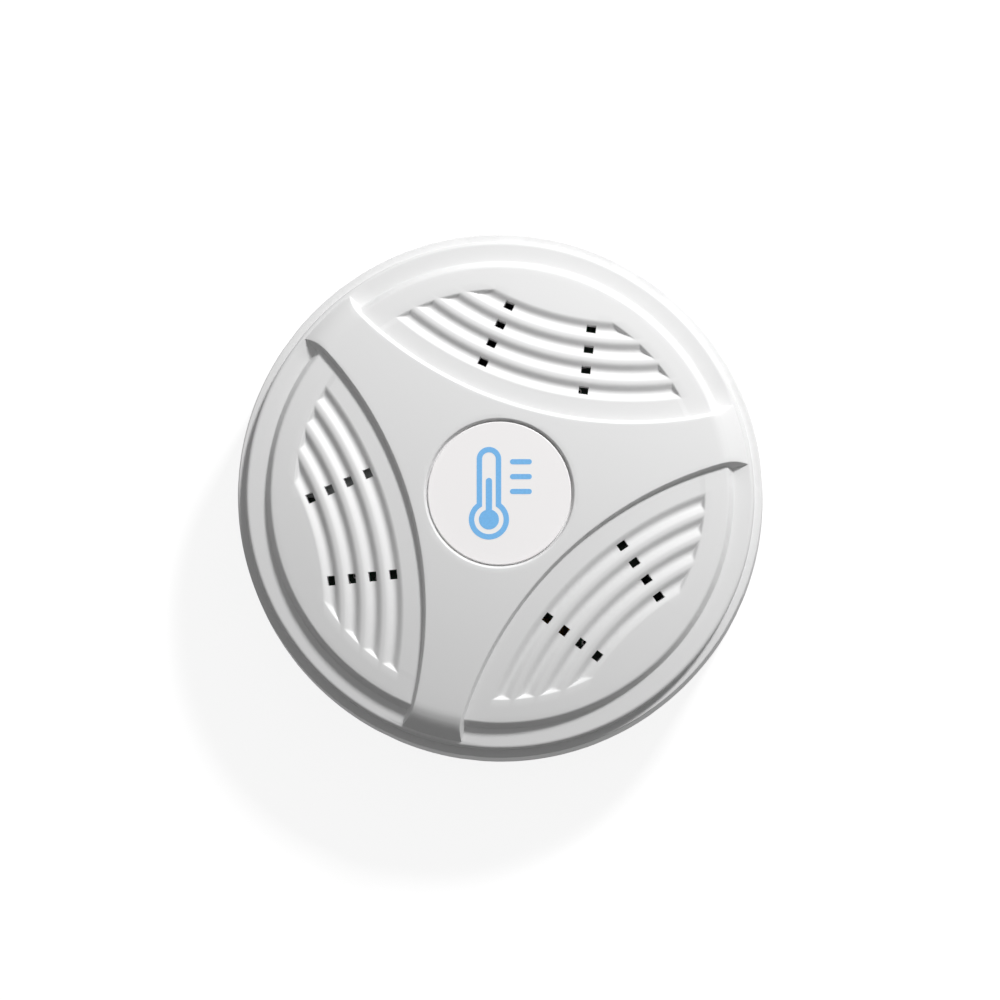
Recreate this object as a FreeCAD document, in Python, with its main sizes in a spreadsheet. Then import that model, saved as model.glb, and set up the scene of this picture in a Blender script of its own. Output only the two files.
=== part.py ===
# Room temperature sensor: a vented front cover on a wall base that carries a battery powered board.
# Millimetres. +Z points out of the front face, the back face lies on z = 0, and +Y is up on the wall.
import FreeCAD
import Part
import math
import os
import re
import Sketcher
from FreeCAD import Placement, Rotation, Vector

doc = FreeCAD.newDocument("temperature_sensor")
UP = Vector(0, 0, 1)
ACROSS = Vector(1, 0, 0)

# The driving dimensions. Angles are in degrees, counted from +X towards +Y as seen from the front.
SIZES = {
    # the case as a whole. The label's recess takes the very peak of the star away
    "star_peak": 17.0,
    "case_radius": 30.0,
    "seam_height": 2.5,
    "shell_wall": 1.6,
    # the domed front: three vented panels, and a star that stands proud of them
    "dome_radius": 160.0,
    "star_step": 0.75,
    "panel_angle": 74.1,
    "panel_radius": 26.4,
    "panel_bevel": 0.5,
    "panel_foot": 0.2,
    "ledge_height": 13.05,
    "ledge_radius": 28.9,
    "ledge_fall": 0.25,
    "ledge_bevel": 0.3,
    "side_break": 10.3,
    "arm_shoulder_radius": 27.1,
    "arm_shoulder_round": 5.2,
    "arm_toe_radius": 28.65,
    "arm_root": 1.0,
    "star_draft": 25.0,
    # grooves and panel edges run round three axes that lean out of the dome's centre
    "vent_lean": 18.9,
    "star_waist": 10.25,
    "cone_below": 8.0,
    "cone_above": 10.0,
    "first_groove": 20.76,
    "groove_pitch": 2.38,
    "groove_count": 4,
    "groove_width": 1.65,
    "groove_floor": 0.5,
    "groove_depth": 0.5,
    "groove_over": 0.25,
    "groove_end_radius": 23.5,
    "groove_end_draft": 40.0,
    "hole_wide": 0.9,
    "hole_long": 1.1,
    "hole_turn": 8.88,
    # the round recess and its label
    "recess_radius": 8.55,
    "recess_foot": 8.3,
    "recess_floor": 16.15,
    "label_radius": 8.2,
    "label_thick": 0.35,
    # pegs of the base, and the sockets of the cover that push over them
    "peg_ring": 22.6,
    "peg_radius": 1.5,
    "peg_top": 11.4,
    "peg_lead": 0.4,
    "peg_shoulder_radius": 2.4,
    "socket_radius": 2.6,
    "socket_gap": 0.05,
    "socket_bottom": 6.9,
    "socket_top": 13.4,
    "socket_depth": 11.9,
    "gusset_thick": 1.0,
    "gusset_bottom": 7.8,
    "gusset_high": 4.0,
    "gusset_reach": 28.9,
    "pry_turn": 60.0,
    "pry_width": 9.0,
    "pry_height": 0.9,
    "pry_depth": 3.5,
    # the base
    "flange_radius": 29.4,
    "flange_chamfer": 0.5,
    "floor_thick": 1.8,
    "rim_outer": 27.6,
    "rim_inner": 26.4,
    "rim_top": 7.0,
    "boss_ring": 21.8,
    "boss_radius": 2.5,
    "wall_hole_pitch": 36.0,
    "wall_hole_radius": 2.1,
    "wall_pad_radius": 4.0,
    "wall_pad_top": 2.4,
    "floor_rib": 1.0,
    "floor_rib_top": 3.0,
    "floor_rib_reach": 20.0,
    "floor_rib_offset": 9.0,
    # the board, and the tongue of the sensing chip with three milled slots round it
    "board_underside": 5.0,
    "board_thick": 1.2,
    "board_radius": 25.3,
    "board_peg_hole": 1.7,
    "board_screw_hole": 1.2,
    "board_notch": 4.2,
    "slot_width": 1.0,
    "tongue_root": 18.4,
    "tongue_end": 22.8,
    "tongue_half": 2.6,
    "sensor_ring": 21.8,
    "sensor_angle": -29.0,
    "sensor_side": 3.0,
    "sensor_high": 1.1,
    # screws that hold the board
    "screw_shank": 0.95,
    "screw_core": 1.0,
    "screw_tip": 2.4,
    "screw_head": 1.9,
    "screw_head_high": 1.2,
    "screw_slot": 0.5,
    "screw_slot_long": 2.2,
    "screw_slot_deep": 0.5,
    # the cell, its tray and its contacts
    "holder_angle": 25.0,
    "cell_radius": 10.0,
    "cell_high": 3.2,
    "cell_cap_radius": 8.6,
    "cell_cap_high": 0.35,
    "cell_bevel": 0.3,
    "tray_gap": 0.25,
    "tray_wall": 1.2,
    "tray_floor": 0.6,
    "tray_high": 3.4,
    "tray_mouth": 9.0,
    "tray_window": 2.2,
    "tray_window_offset": 5.5,
    "contact_sheet": 0.25,
    "contact_width": 4.5,
    "contact_reach": 5.0,
    "contact_lip": 0.5,
    "contact_foot": 1.6,
    "contact_clear": 0.6,
    # the aerial, a pressed strip on three legs
    "aerial_ring": 24.0,
    "aerial_thick": 0.3,
    "aerial_bottom": 8.0,
    "aerial_tall": 1.2,
    "aerial_start": 32.0,
    "aerial_turn": 90.0,
    "aerial_leg_turn": 3.5,
    "aerial_feed_turn": 9.0,
    # the pairing switch
    "switch_x": 18.5,
    "switch_y": -1.5,
    "switch_side": 6.0,
    "switch_high": 3.2,
    "switch_sheet": 0.3,
    "switch_corner": 0.6,
    "switch_well": 1.2,
    "switch_well_gap": 0.35,
    "plunger_radius": 1.7,
    "plunger_top": 11.2,
    "plunger_gap": 0.06,
    "plunger_bevel": 0.2,
    "plunger_travel": 0.25,
    "plunger_rest": 0.05,
    # the radio's shield, a pressed can that is open below
    "shield_side": 9.0,
    "shield_high": 1.9,
    "shield_sheet": 0.25,
    "shield_corner": 0.5,
    # small chip parts
    "chip_part_long": 1.6,
    "chip_part_wide": 0.8,
    "capacitor_high": 0.8,
    "resistor_high": 0.45,
}

# The packages on the board: place, length, width, height, turn, and radius of the upright corners.
PACKAGE_FIELDS = ("x", "y", "length", "width", "high", "turn", "corner")
PACKAGES = {
    "microcontroller": (-12.5, -14.5, 6.0, 6.0, 0.9, 45.0, 0.0),
    "radio_chip": (-18.0, 4.5, 5.0, 5.0, 0.9, 0.0, 0.0),
    "crystal": (-18.5, -11.0, 3.2, 2.5, 0.8, 30.0, 0.4),
    "status_led": (10.5, -13.0, 2.0, 1.25, 0.8, 0.0, 0.0),
    "bulk_capacitor": (6.3, -15.2, 3.5, 2.8, 1.9, 0.0, 0.0),
    "choke": (15.2, 9.4, 3.0, 3.0, 1.5, 44.0, 0.5),
}
for package, numbers in PACKAGES.items():
    for field, number in zip(PACKAGE_FIELDS, numbers):
        SIZES[f"{package}_{field}"] = number

sheet = doc.addObject("Spreadsheet::Sheet", "sizes")
for row, (alias, value) in enumerate(SIZES.items(), start=1):
    sheet.set(f"A{row}", alias)
    sheet.set(f"B{row}", str(value))
    sheet.setAlias(f"B{row}", alias)
doc.recompute()


def ex(text):
    """Turns the sheet's names in a formula into references to its cells."""
    return re.sub(r"[a-z_]+\w*", lambda word: f"sizes.{word[0]}" if word[0] in SIZES else word[0], text)


def val(text):
    """The present value of a formula."""
    return float(sheet.evalExpression(ex(text)))


def bind(thing, **formulas):
    """Binds properties to formulas. A double underscore in a name stands for a dot."""
    for name, formula in formulas.items():
        thing.setExpression(name.replace("__", "."), ex(str(formula)))
    return thing


# Heights and angles that follow from the driving dimensions.
DOME_CENTRE = "(star_peak - star_step - dome_radius)"
BOARD_TOP = "(board_underside + board_thick)"
CELL_BOTTOM = f"({BOARD_TOP} + tray_floor + contact_sheet)"
CELL_TOP = f"({CELL_BOTTOM} + cell_high)"
PANELS = [f"(panel_angle + {120 * turn})" for turn in range(3)]
ARMS = [f"(panel_angle + {120 * turn + 60})" for turn in range(3)]
SIDES = ("-", "+")


def new_body(name):
    return doc.addObject("PartDesign::Body", name)


def new_sketch(body, name, plane="XY_Plane", height="0"):
    """A sketch on one of the body's own origin planes, raised by height along its normal."""
    sketch = body.newObject("Sketcher::SketchObject", name)
    origin_plane = [part for part in body.Origin.OriginFeatures if part.Role == plane][0]
    sketch.AttachmentSupport = [(origin_plane, "")]
    sketch.MapMode = "FlatFace"
    bind(sketch, AttachmentOffset__Base__z=height)
    return sketch


def fix_point(sketch, geometry, end, corner):
    """Holds a point of the sketch at the formulas of its two coordinates."""
    for kind, formula in zip(("DistanceX", "DistanceY"), corner):
        index = sketch.addConstraint(Sketcher.Constraint(kind, -1, 1, geometry, end, val(formula)))
        sketch.setExpression(f"Constraints[{index}]", ex(formula))


def add_outline(sketch, corners):
    """A closed outline of straight legs through corners, each a pair of formulas."""
    points = [Vector(val(x), val(y), 0) for x, y in corners]
    legs = []
    for start, end, corner in zip(points, points[1:] + points[:1], corners):
        leg = sketch.addGeometry(Part.LineSegment(start, end), False)
        fix_point(sketch, leg, 1, corner)
        legs.append(leg)
    for leg, onward in zip(legs, legs[1:] + legs[:1]):
        sketch.addConstraint(Sketcher.Constraint("Coincident", leg, 2, onward, 1))


def add_circle(sketch, x, y, radius):
    circle = sketch.addGeometry(Part.Circle(Vector(val(x), val(y), 0), UP, val(radius)), False)
    fix_point(sketch, circle, 3, (x, y))
    index = sketch.addConstraint(Sketcher.Constraint("Radius", circle, val(radius)))
    sketch.setExpression(f"Constraints[{index}]", ex(radius))


def add_box_outline(sketch, x_low, x_high, y_low, y_high):
    add_outline(sketch, [(x_low, y_low), (x_high, y_low), (x_high, y_high), (x_low, y_high)])


def around(radius, angle):
    """The two coordinate formulas of a point at a distance from the axis and an angle round it."""
    return f"({radius}) * cos({angle})", f"({radius}) * sin({angle})"


def pad(body, sketch, name, length):
    feature = body.newObject("PartDesign::Pad", name)
    feature.Profile = sketch
    return bind(feature, Length=length)


def pocket(body, sketch, name, length):
    """A cut that goes up from the sketch by some length."""
    feature = body.newObject("PartDesign::Pocket", name)
    feature.Profile = sketch
    feature.Reversed = True
    return bind(feature, Length=length)


def turn_body(name, corners, foot="0"):
    """A body turned round the Z axis from an outline of radii and heights, raised by foot."""
    body = new_body(name)
    bind(body, Placement__Base__z=foot)
    sketch = new_sketch(body, f"{name}_section", "XZ_Plane")
    add_outline(sketch, corners)
    feature = body.newObject("PartDesign::Revolution", f"{name}_turned")
    feature.Profile = sketch
    feature.ReferenceAxis = (sketch, ["V_Axis"])
    feature.Angle = 360
    doc.recompute()
    return body


def ring_of(body, feature, name, count):
    """Repeats a feature evenly round the body's own Z axis."""
    pattern = body.newObject("PartDesign::PolarPattern", name)
    pattern.Originals = [feature]
    pattern.Axis = ([part for part in body.Origin.OriginFeatures if part.Role == "Z_Axis"][0], [""])
    pattern.Angle = 360
    pattern.Occurrences = count
    body.Tip = pattern


def circles_at(shape, radius, height):
    """The numbers of a shape's round edges of some radius at a height."""
    numbers = []
    for number, edge in enumerate(shape.Edges, start=1):
        if edge.Degenerated or not isinstance(edge.Curve, Part.Circle):
            continue
        if abs(edge.Curve.Radius - val(radius)) < 1e-3 and abs(edge.Curve.Center.z - val(height)) < 1e-3:
            numbers.append(number)
    return numbers


def rings_at(shape, radius, height):
    """The numbers of the edges on a level ring round the Z axis, near a radius and a height."""
    numbers = []
    for number, edge in enumerate(shape.Edges, start=1):
        middle = edge.valueAt((edge.FirstParameter + edge.LastParameter) / 2)
        near = abs(math.hypot(middle.x, middle.y) - val(radius)) < 0.2 and abs(middle.z - val(height)) < 0.2
        if near and edge.BoundBox.ZLength < 1e-3:
            numbers.append(number)
    return numbers


def bevel_body(body, name, radius, height, size):
    """Bevels a body's round edges of some radius at a height."""
    doc.recompute()
    base = body.Tip
    edges = [f"Edge{number}" for number in circles_at(base.Shape, radius, height)]
    if not edges:
        raise RuntimeError(f"{name} has no edges to work on")
    feature = body.newObject("PartDesign::Chamfer", name)
    feature.Base = (base, edges)
    bind(feature, Size=size)
    doc.recompute()


def dress(kind, name, thing, size, pick):
    """Rounds or bevels the edges of a thing that pick chooses from its shape."""
    doc.recompute()
    numbers = pick(thing.Shape)
    if not numbers:
        raise RuntimeError(f"{name} has no edges to work on")
    dressed = doc.addObject(f"Part::{kind}", name)
    dressed.Base = thing
    dressed.Edges = [(number, val(size), val(size)) for number in numbers]
    return dressed


def upright_edges(shape):
    """The numbers of a shape's straight edges along Z."""
    numbers = []
    for number, edge in enumerate(shape.Edges, start=1):
        heights = [vertex.Point.z for vertex in edge.Vertexes]
        if len(heights) == 2 and abs(heights[0] - heights[1]) > 0.9 * edge.Length:
            numbers.append(number)
    return numbers


def fuse(name, parts):
    thing = doc.addObject("Part::MultiFuse", name)
    thing.Shapes = parts
    return thing


def combine(kind, name, base, tool):
    """A cut or common part of two objects."""
    thing = doc.addObject(f"Part::{kind}", name)
    thing.Base = base
    thing.Tool = tool
    return thing


def bundle(name, parts):
    """Several separate solids held as one object."""
    thing = doc.addObject("Part::Compound", name)
    thing.Links = parts
    return thing


def block(name, length, width, height):
    thing = doc.addObject("Part::Box", name)
    return bind(thing, Length=length, Width=width, Height=height)


def post(name, radius, height, x="0", y="0", z="0"):
    thing = doc.addObject("Part::Cylinder", name)
    bind(thing, Radius=radius, Height=height)
    return bind(thing, Placement__Base__x=x, Placement__Base__y=y, Placement__Base__z=z)


def cone(name, low, high, height, z="0"):
    thing = doc.addObject("Part::Cone", name)
    return bind(thing, Radius1=low, Radius2=high, Height=height, Placement__Base__z=z)


def lay_block(name, x, y, z, length, width, height, turn="0"):
    """A block centred on x and y with its foot at z, turned about its own middle."""
    thing = block(name, length, width, height)
    middle = Vector(val(length) / 2, val(width) / 2, 0)
    spin = Rotation(UP, val(turn))
    thing.Placement = Placement(Vector(val(x), val(y), val(z)) - spin.multVec(middle), spin)
    return thing


def reach_block(name, angle, start, z, length, width, height):
    """A block that points away from the Z axis at an angle, from start outwards, with its foot at z."""
    thing = block(name, length, width, height)
    spin = Rotation(UP, val(angle))
    thing.Placement = Placement(spin.multVec(Vector(val(start), -val(width) / 2, val(z))), spin)
    return thing


def under_dome(name, thing, radius):
    """The part of a thing that lies under a dome. The ball's poles lie at the sides, out of the way."""
    ball = doc.addObject("Part::Sphere", f"{name}_ball")
    ball.Placement = Placement(Vector(0, 0, 0), Rotation(ACROSS, 90))
    bind(ball, Radius=radius, Placement__Base__z=DOME_CENTRE)
    return combine("Common", name, thing, ball)


def leaned(panel, *turns):
    """The frame of a panel's leaning axis, whose origin is the dome's centre, with further turns after it."""
    place = Placement(Vector(0, 0, 0), Rotation(UP, val(panel) - 90))
    place = place * Placement(Vector(0, 0, val(DOME_CENTRE)), Rotation(ACROSS, -val("vent_lean")))
    for axis, angle in turns:
        place = place * Placement(Vector(0, 0, 0), Rotation(axis, angle))
    return place


def lean_angle(reach, radius="dome_radius"):
    """The angle off a leaning axis of a ring that crosses the panel's middle at reach from the Z axis."""
    return f"(vent_lean - asin(({reach}) / ({radius})) / 1 deg)"


def groove_reach(number):
    return f"(first_groove - {number} * groove_pitch)"


# Front cover, first the dome of its panels with the ledge and the tapering side.
BROW_FOOT = f"({DOME_CENTRE} + sqrt(dome_radius ^ 2 - panel_radius ^ 2) - panel_bevel)"
LEDGE_EDGE = "(ledge_height - ledge_fall)"
SIDE_TAPER = f"((case_radius - ledge_radius) / ({LEDGE_EDGE} - side_break))"
panel_blank = turn_body(
    "panel_blank",
    [
        ("0", "seam_height"),
        ("case_radius", "seam_height"),
        ("case_radius", "side_break"),
        (f"ledge_radius + ledge_bevel * {SIDE_TAPER}", f"{LEDGE_EDGE} - ledge_bevel"),
        ("ledge_radius - ledge_bevel", LEDGE_EDGE),
        ("panel_radius + panel_foot", "ledge_height"),
        ("panel_radius", BROW_FOOT),
        (f"panel_radius - (star_peak - {BROW_FOOT})", "star_peak"),
        ("0", "star_peak"),
    ],
)
panel_dome = under_dome("panel_dome", panel_blank, "dome_radius")

# The star is a higher dome whose arms run down to the ledge.
STAR_RADIUS = "(dome_radius + star_step)"
SHOULDER_HEIGHT = f"({DOME_CENTRE} + sqrt({STAR_RADIUS} ^ 2 - arm_shoulder_radius ^ 2))"
TOE_FALL = "(ledge_fall * (arm_toe_radius - panel_radius) / (ledge_radius - panel_radius))"
TOE_HEIGHT = f"(ledge_height - {TOE_FALL})"
ARM_SLOPE = f"((arm_toe_radius - arm_shoulder_radius) / ({SHOULDER_HEIGHT} - {TOE_HEIGHT}))"
star_blank = turn_body(
    "star_blank",
    [
        ("0", "ledge_height - arm_root"),
        ("arm_toe_radius", "ledge_height - arm_root"),
        ("arm_toe_radius", TOE_HEIGHT),
        (f"arm_toe_radius - {ARM_SLOPE} * (star_peak - {TOE_HEIGHT})", "star_peak"),
        ("0", "star_peak"),
    ],
)
star_dome = under_dome("star_dome", star_blank, STAR_RADIUS)
star_round = dress(
    "Fillet",
    "arm_shoulder",
    star_dome,
    "arm_shoulder_round",
    lambda shape: rings_at(shape, "arm_shoulder_radius", SHOULDER_HEIGHT),
)

# Three leaning cones cut the star to its outline.
WALL_RADIUS = "(dome_radius + star_step / 2)"
WALL_ANGLE = lean_angle("star_waist", WALL_RADIUS)


def wall_reach(lift):
    """How far the star's drafted wall stands off a leaning axis, lift outwards from its middle."""
    return f"(({WALL_RADIUS} + {lift}) * sin({WALL_ANGLE}) + ({lift}) * tan(star_draft) * cos({WALL_ANGLE}))"


def wall_level(lift):
    """How far along a leaning axis the wall stands from the dome's centre."""
    return f"(({WALL_RADIUS} + {lift}) * cos({WALL_ANGLE}) - ({lift}) * tan(star_draft) * sin({WALL_ANGLE}))"


FOOT_LEVEL = wall_level("(0 - cone_below)")
CONE_HIGH = f"{wall_level('cone_above')} - {FOOT_LEVEL}"
panel_cones = []
for number, panel in enumerate(PANELS, start=1):
    panel_cone = cone(f"panel_cone_{number}", wall_reach("(0 - cone_below)"), wall_reach("cone_above"), CONE_HIGH)
    panel_cone.setExpression("Placement.Base.z", None)
    panel_cone.Placement = leaned(panel) * Placement(Vector(0, 0, val(FOOT_LEVEL)), Rotation())
    panel_cones.append(panel_cone)
star = combine("Cut", "star", star_round, fuse("panel_cones", panel_cones))
relief = fuse("relief", [panel_dome, star])

# The hollow inside the cover follows the dome at an even wall.
CEILING_EDGE = "(panel_radius - shell_wall + panel_foot)"
hollow_blank = turn_body(
    "hollow_blank",
    [
        ("0", "seam_height - shell_wall"),
        ("case_radius - shell_wall", "seam_height - shell_wall"),
        ("case_radius - shell_wall", "side_break - shell_wall / 3"),
        ("ledge_radius - shell_wall", "ledge_height - shell_wall"),
        (CEILING_EDGE, "ledge_height - shell_wall"),
        (CEILING_EDGE, "star_peak"),
        ("0", "star_peak"),
    ],
)
hollow = under_dome("cover_hollow", hollow_blank, "dome_radius - shell_wall")
shell = combine("Cut", "shell", relief, hollow)

# Sockets under the arms push over the base's pegs. A gusset ties each socket to the side wall.
GUSSET_START = "(peg_ring + socket_radius / 2)"
SOCKET_HIGH = "socket_top - socket_bottom"
BORE_FOOT = "(socket_bottom - peg_lead)"
BORE_RADIUS = "peg_radius + socket_gap"
inner_parts = []
cutters = []
for number, arm in enumerate(ARMS, start=1):
    x, y = around("peg_ring", arm)
    inner_parts.append(post(f"socket_{number}", "socket_radius", SOCKET_HIGH, x, y, "socket_bottom"))
    gusset = reach_block(
        f"gusset_{number}",
        arm,
        GUSSET_START,
        "gusset_bottom",
        f"gusset_reach - {GUSSET_START}",
        "gusset_thick",
        "gusset_high",
    )
    inner_parts.append(gusset)
    cutters.append(post(f"socket_bore_{number}", BORE_RADIUS, f"socket_depth - {BORE_FOOT}", x, y, BORE_FOOT))
ribbed_shell = fuse("ribbed_shell", [shell] + inner_parts)

# Grooves are rings round the leaning axes. Their sections are drawn square to the dome.
groove_sketch = doc.addObject("Sketcher::SketchObject", "groove_sections")
groove_sketch.Placement = Placement(Vector(0, 0, 0), Rotation(ACROSS, 90))
GROOVE_SLOPE = "((groove_width - groove_floor) / 2 / groove_depth)"


def groove_corner(turn, lift, side):
    """A corner of a groove's section, lift above its floor on one side of its middle."""
    radius = f"(dome_radius - groove_depth + {lift})"
    half = f"(0 {side} (groove_floor / 2 + {GROOVE_SLOPE} * {lift}))"
    return f"{radius} * sin({turn}) + {half} * cos({turn})", f"{radius} * cos({turn}) - {half} * sin({turn})"


for number in range(SIZES["groove_count"]):
    groove_turn = lean_angle(groove_reach(number))
    head = "(groove_depth + groove_over)"
    corners = [("0", "-"), ("0", "+"), (head, "+"), (head, "-")]
    add_outline(groove_sketch, [groove_corner(groove_turn, lift, side) for lift, side in corners])

# A cone round the Z axis ends the grooves, so that they stop in a circle.
END_LEVEL = f"({DOME_CENTRE} + sqrt(dome_radius ^ 2 - groove_end_radius ^ 2))"
END_SPAN = "(5 * groove_depth)"
groove_limit = cone(
    "groove_limit",
    f"groove_end_radius - {END_SPAN} * tan(groove_end_draft)",
    f"groove_end_radius + {END_SPAN} * tan(groove_end_draft)",
    f"2 * {END_SPAN}",
    f"{END_LEVEL} - {END_SPAN}",
)
for number, panel in enumerate(PANELS, start=1):
    rings = doc.addObject("Part::Revolution", f"groove_rings_{number}")
    rings.Source = groove_sketch
    rings.Axis = UP
    rings.Angle = 360
    rings.Solid = True
    rings.Placement = leaned(panel)
    cutters.append(combine("Common", f"grooves_{number}", rings, groove_limit))

# Two small air holes in every groove, square to the dome.
for number, panel in enumerate(PANELS, start=1):
    for row in range(SIZES["groove_count"]):
        for side in SIDES:
            turns = (UP, val(f"0 {side} hole_turn")), (ACROSS, val(lean_angle(groove_reach(row))))
            name = f"air_hole_{number}_{row + 1}_{'a' if side == '-' else 'b'}"
            hole = block(name, "hole_wide", "hole_long", "2 * shell_wall")
            hole_foot = val("dome_radius - 1.5 * shell_wall")
            corner = Vector(-val("hole_wide") / 2, -val("hole_long") / 2, hole_foot)
            hole.Placement = leaned(panel, *turns) * Placement(corner, Rotation())
            cutters.append(hole)

# The label's recess, with its wall leaning outwards.
RECESS_HIGH = "star_peak - recess_floor"
cutters.append(cone("label_recess", "recess_foot", "recess_radius", RECESS_HIGH, "recess_floor"))

# A pry notch in the skirt, to lever the cover off.
notch = reach_block(
    "pry_notch",
    f"{ARMS[1]} + pry_turn",
    "case_radius - pry_depth",
    "seam_height - pry_height",
    "2 * pry_depth",
    "pry_width",
    "2 * pry_height",
)
cutters.append(notch)
front_cover = combine("Cut", "front_cover", ribbed_shell, bundle("cover_cuts", cutters))

# The printed label in the recess.
centre_label = post("centre_label", "label_radius", "label_thick", z="recess_floor")

# Rear base: floor, flange and rim in one turn, then pegs, screw bosses and pads round the wall holes.
rear_base = turn_body(
    "rear_base",
    [
        ("0", "0"),
        ("flange_radius - flange_chamfer", "0"),
        ("flange_radius", "flange_chamfer"),
        ("flange_radius", "seam_height"),
        ("rim_outer", "seam_height"),
        ("rim_outer", "rim_top"),
        ("rim_inner", "rim_top"),
        ("rim_inner", "floor_thick"),
        ("0", "floor_thick"),
    ],
)


def base_posts(name, ring, angle, radius, top):
    """Three equal posts on the floor of the base."""
    outline = new_sketch(rear_base, f"{name}_outline")
    add_circle(outline, *around(ring, angle), radius)
    feature = pad(rear_base, outline, f"{name}_first", top)
    ring_of(rear_base, feature, name, 3)


base_posts("peg_shoulders", "peg_ring", ARMS[0], "peg_shoulder_radius", "board_underside")
base_posts("pegs", "peg_ring", ARMS[0], "peg_radius", "peg_top")
base_posts("screw_bosses", "boss_ring", PANELS[0], "boss_radius", "board_underside")
outline = new_sketch(rear_base, "wall_pads_outline")
for side in SIDES:
    add_circle(outline, "0", f"0 {side} wall_hole_pitch / 2", "wall_pad_radius")
pad(rear_base, outline, "wall_pads", "wall_pad_top")
outline = new_sketch(rear_base, "cross_ribs_outline")
for side in SIDES:
    low = f"0 {side} floor_rib_offset - floor_rib / 2"
    add_box_outline(outline, "-floor_rib_reach", "floor_rib_reach", low, f"{low} + floor_rib")
pad(rear_base, outline, "cross_ribs", "floor_rib_top")
outline = new_sketch(rear_base, "boss_cores_outline", height="floor_thick")
add_circle(outline, *around("boss_ring", PANELS[0]), "screw_core")
ring_of(rear_base, pocket(rear_base, outline, "boss_cores_first", "board_underside"), "boss_cores", 3)
outline = new_sketch(rear_base, "wall_holes_outline")
for side in SIDES:
    add_circle(outline, "0", f"0 {side} wall_hole_pitch / 2", "wall_hole_radius")
pocket(rear_base, outline, "wall_holes", "board_underside")
bevel_body(rear_base, "peg_leads", "peg_radius", "peg_top", "peg_lead")

# The circuit board.
circuit_board = new_body("circuit_board")
bind(circuit_board, Placement__Base__z="board_underside")
outline = new_sketch(circuit_board, "board_outline")
add_circle(outline, "0", "0", "board_radius")
pad(circuit_board, outline, "board_disc", "board_thick")


def board_cut(name, draw, count=1):
    """Cuts what draw adds to a sketch right through the board, and repeats it evenly round its middle."""
    outline = new_sketch(circuit_board, f"{name}_outline")
    draw(outline)
    feature = pocket(circuit_board, outline, f"{name}_cut", "board_thick")
    if count > 1:
        ring_of(circuit_board, feature, name, count)


def tongue_slot(sketch, along_low, along_high, across_low, across_high):
    """A straight slot given along and across the line from the board's middle to the sensing chip."""
    corners = []
    near_ends = [(along_low, across_low), (along_high, across_low)]
    far_ends = [(along_high, across_high), (along_low, across_high)]
    for along, across in near_ends + far_ends:
        x = f"({along}) * cos(sensor_angle) - ({across}) * sin(sensor_angle)"
        y = f"({along}) * sin(sensor_angle) + ({across}) * cos(sensor_angle)"
        corners.append((x, y))
    add_outline(sketch, corners)


DRIVER_AT = "wall_hole_pitch / 2"
SLOT_END = "(tongue_half + slot_width)"
INNER_SLOT = ("tongue_root", "tongue_root + slot_width", f"-{SLOT_END}", SLOT_END)
NOTCH_BOX = ("-board_notch", "board_notch", DRIVER_AT, "board_radius + slot_width")
FIRST_PEG = around("peg_ring", ARMS[0])
FIRST_BOSS = around("boss_ring", PANELS[0])
board_cut("peg_holes", lambda sketch: add_circle(sketch, *FIRST_PEG, "board_peg_hole"), 3)
board_cut("screw_holes", lambda sketch: add_circle(sketch, *FIRST_BOSS, "board_screw_hole"), 3)
board_cut("driver_holes", lambda sketch: add_circle(sketch, "0", DRIVER_AT, "board_notch"), 2)
board_cut("driver_notches", lambda sketch: add_box_outline(sketch, *NOTCH_BOX), 2)
board_cut("inner_slot", lambda sketch: tongue_slot(sketch, *INNER_SLOT))
for side, low in (("left", "tongue_half"), ("right", f"-{SLOT_END}")):
    span = ("tongue_root + slot_width / 2", "tongue_end", low, f"{low} + slot_width")
    board_cut(f"{side}_slot", lambda sketch: tongue_slot(sketch, *span))

# Three screws, each a pan head with a cross recess on a plain shank.
SCREW_TOP = f"({BOARD_TOP} + screw_head_high)"
screws = []
for number, panel in enumerate(PANELS, start=1):
    x, y = around("boss_ring", panel)
    shank_high = f"{BOARD_TOP} - screw_tip + screw_slot_deep"
    shank = post(f"screw_shank_{number}", "screw_shank", shank_high, x, y, "screw_tip")
    head = post(f"screw_head_{number}", "screw_head", "screw_head_high", x, y, BOARD_TOP)
    slots = []
    for turn in ("0", "90"):
        slot = lay_block(
            f"screw_slot_{number}_{turn}",
            x,
            y,
            f"{SCREW_TOP} - screw_slot_deep",
            "screw_slot_long",
            "screw_slot",
            "screw_head_high",
            turn,
        )
        slots.append(slot)
    whole = fuse(f"screw_blank_{number}", [shank, head])
    screws.append(combine("Cut", f"screw_{number}", whole, fuse(f"screw_cross_{number}", slots)))
board_screws = bundle("board_screws", screws)

# The battery tray: a floor and a wall with two mouths for the contacts, and a window in the floor.
TRAY_RADIUS = "(cell_radius + tray_gap + tray_wall)"
battery_holder = new_body("battery_holder")
bind(battery_holder, Placement__Base__z=BOARD_TOP, Placement__Rotation__Angle="holder_angle")
outline = new_sketch(battery_holder, "tray_outline")
add_circle(outline, "0", "0", TRAY_RADIUS)
pad(battery_holder, outline, "tray_blank", "tray_high")
outline = new_sketch(battery_holder, "tray_hollow_outline", height="tray_floor")
add_circle(outline, "0", "0", "cell_radius + tray_gap")
pocket(battery_holder, outline, "tray_hollow", "tray_high")
outline = new_sketch(battery_holder, "tray_mouths_outline", height="tray_floor")
add_box_outline(outline, f"-{TRAY_RADIUS} - 1", f"{TRAY_RADIUS} + 1", "-tray_mouth / 2", "tray_mouth / 2")
pocket(battery_holder, outline, "tray_mouths", "tray_high")
outline = new_sketch(battery_holder, "tray_window_outline")
add_circle(outline, "0", "-tray_window_offset", "tray_window")
pocket(battery_holder, outline, "tray_window", "tray_floor")

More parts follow.
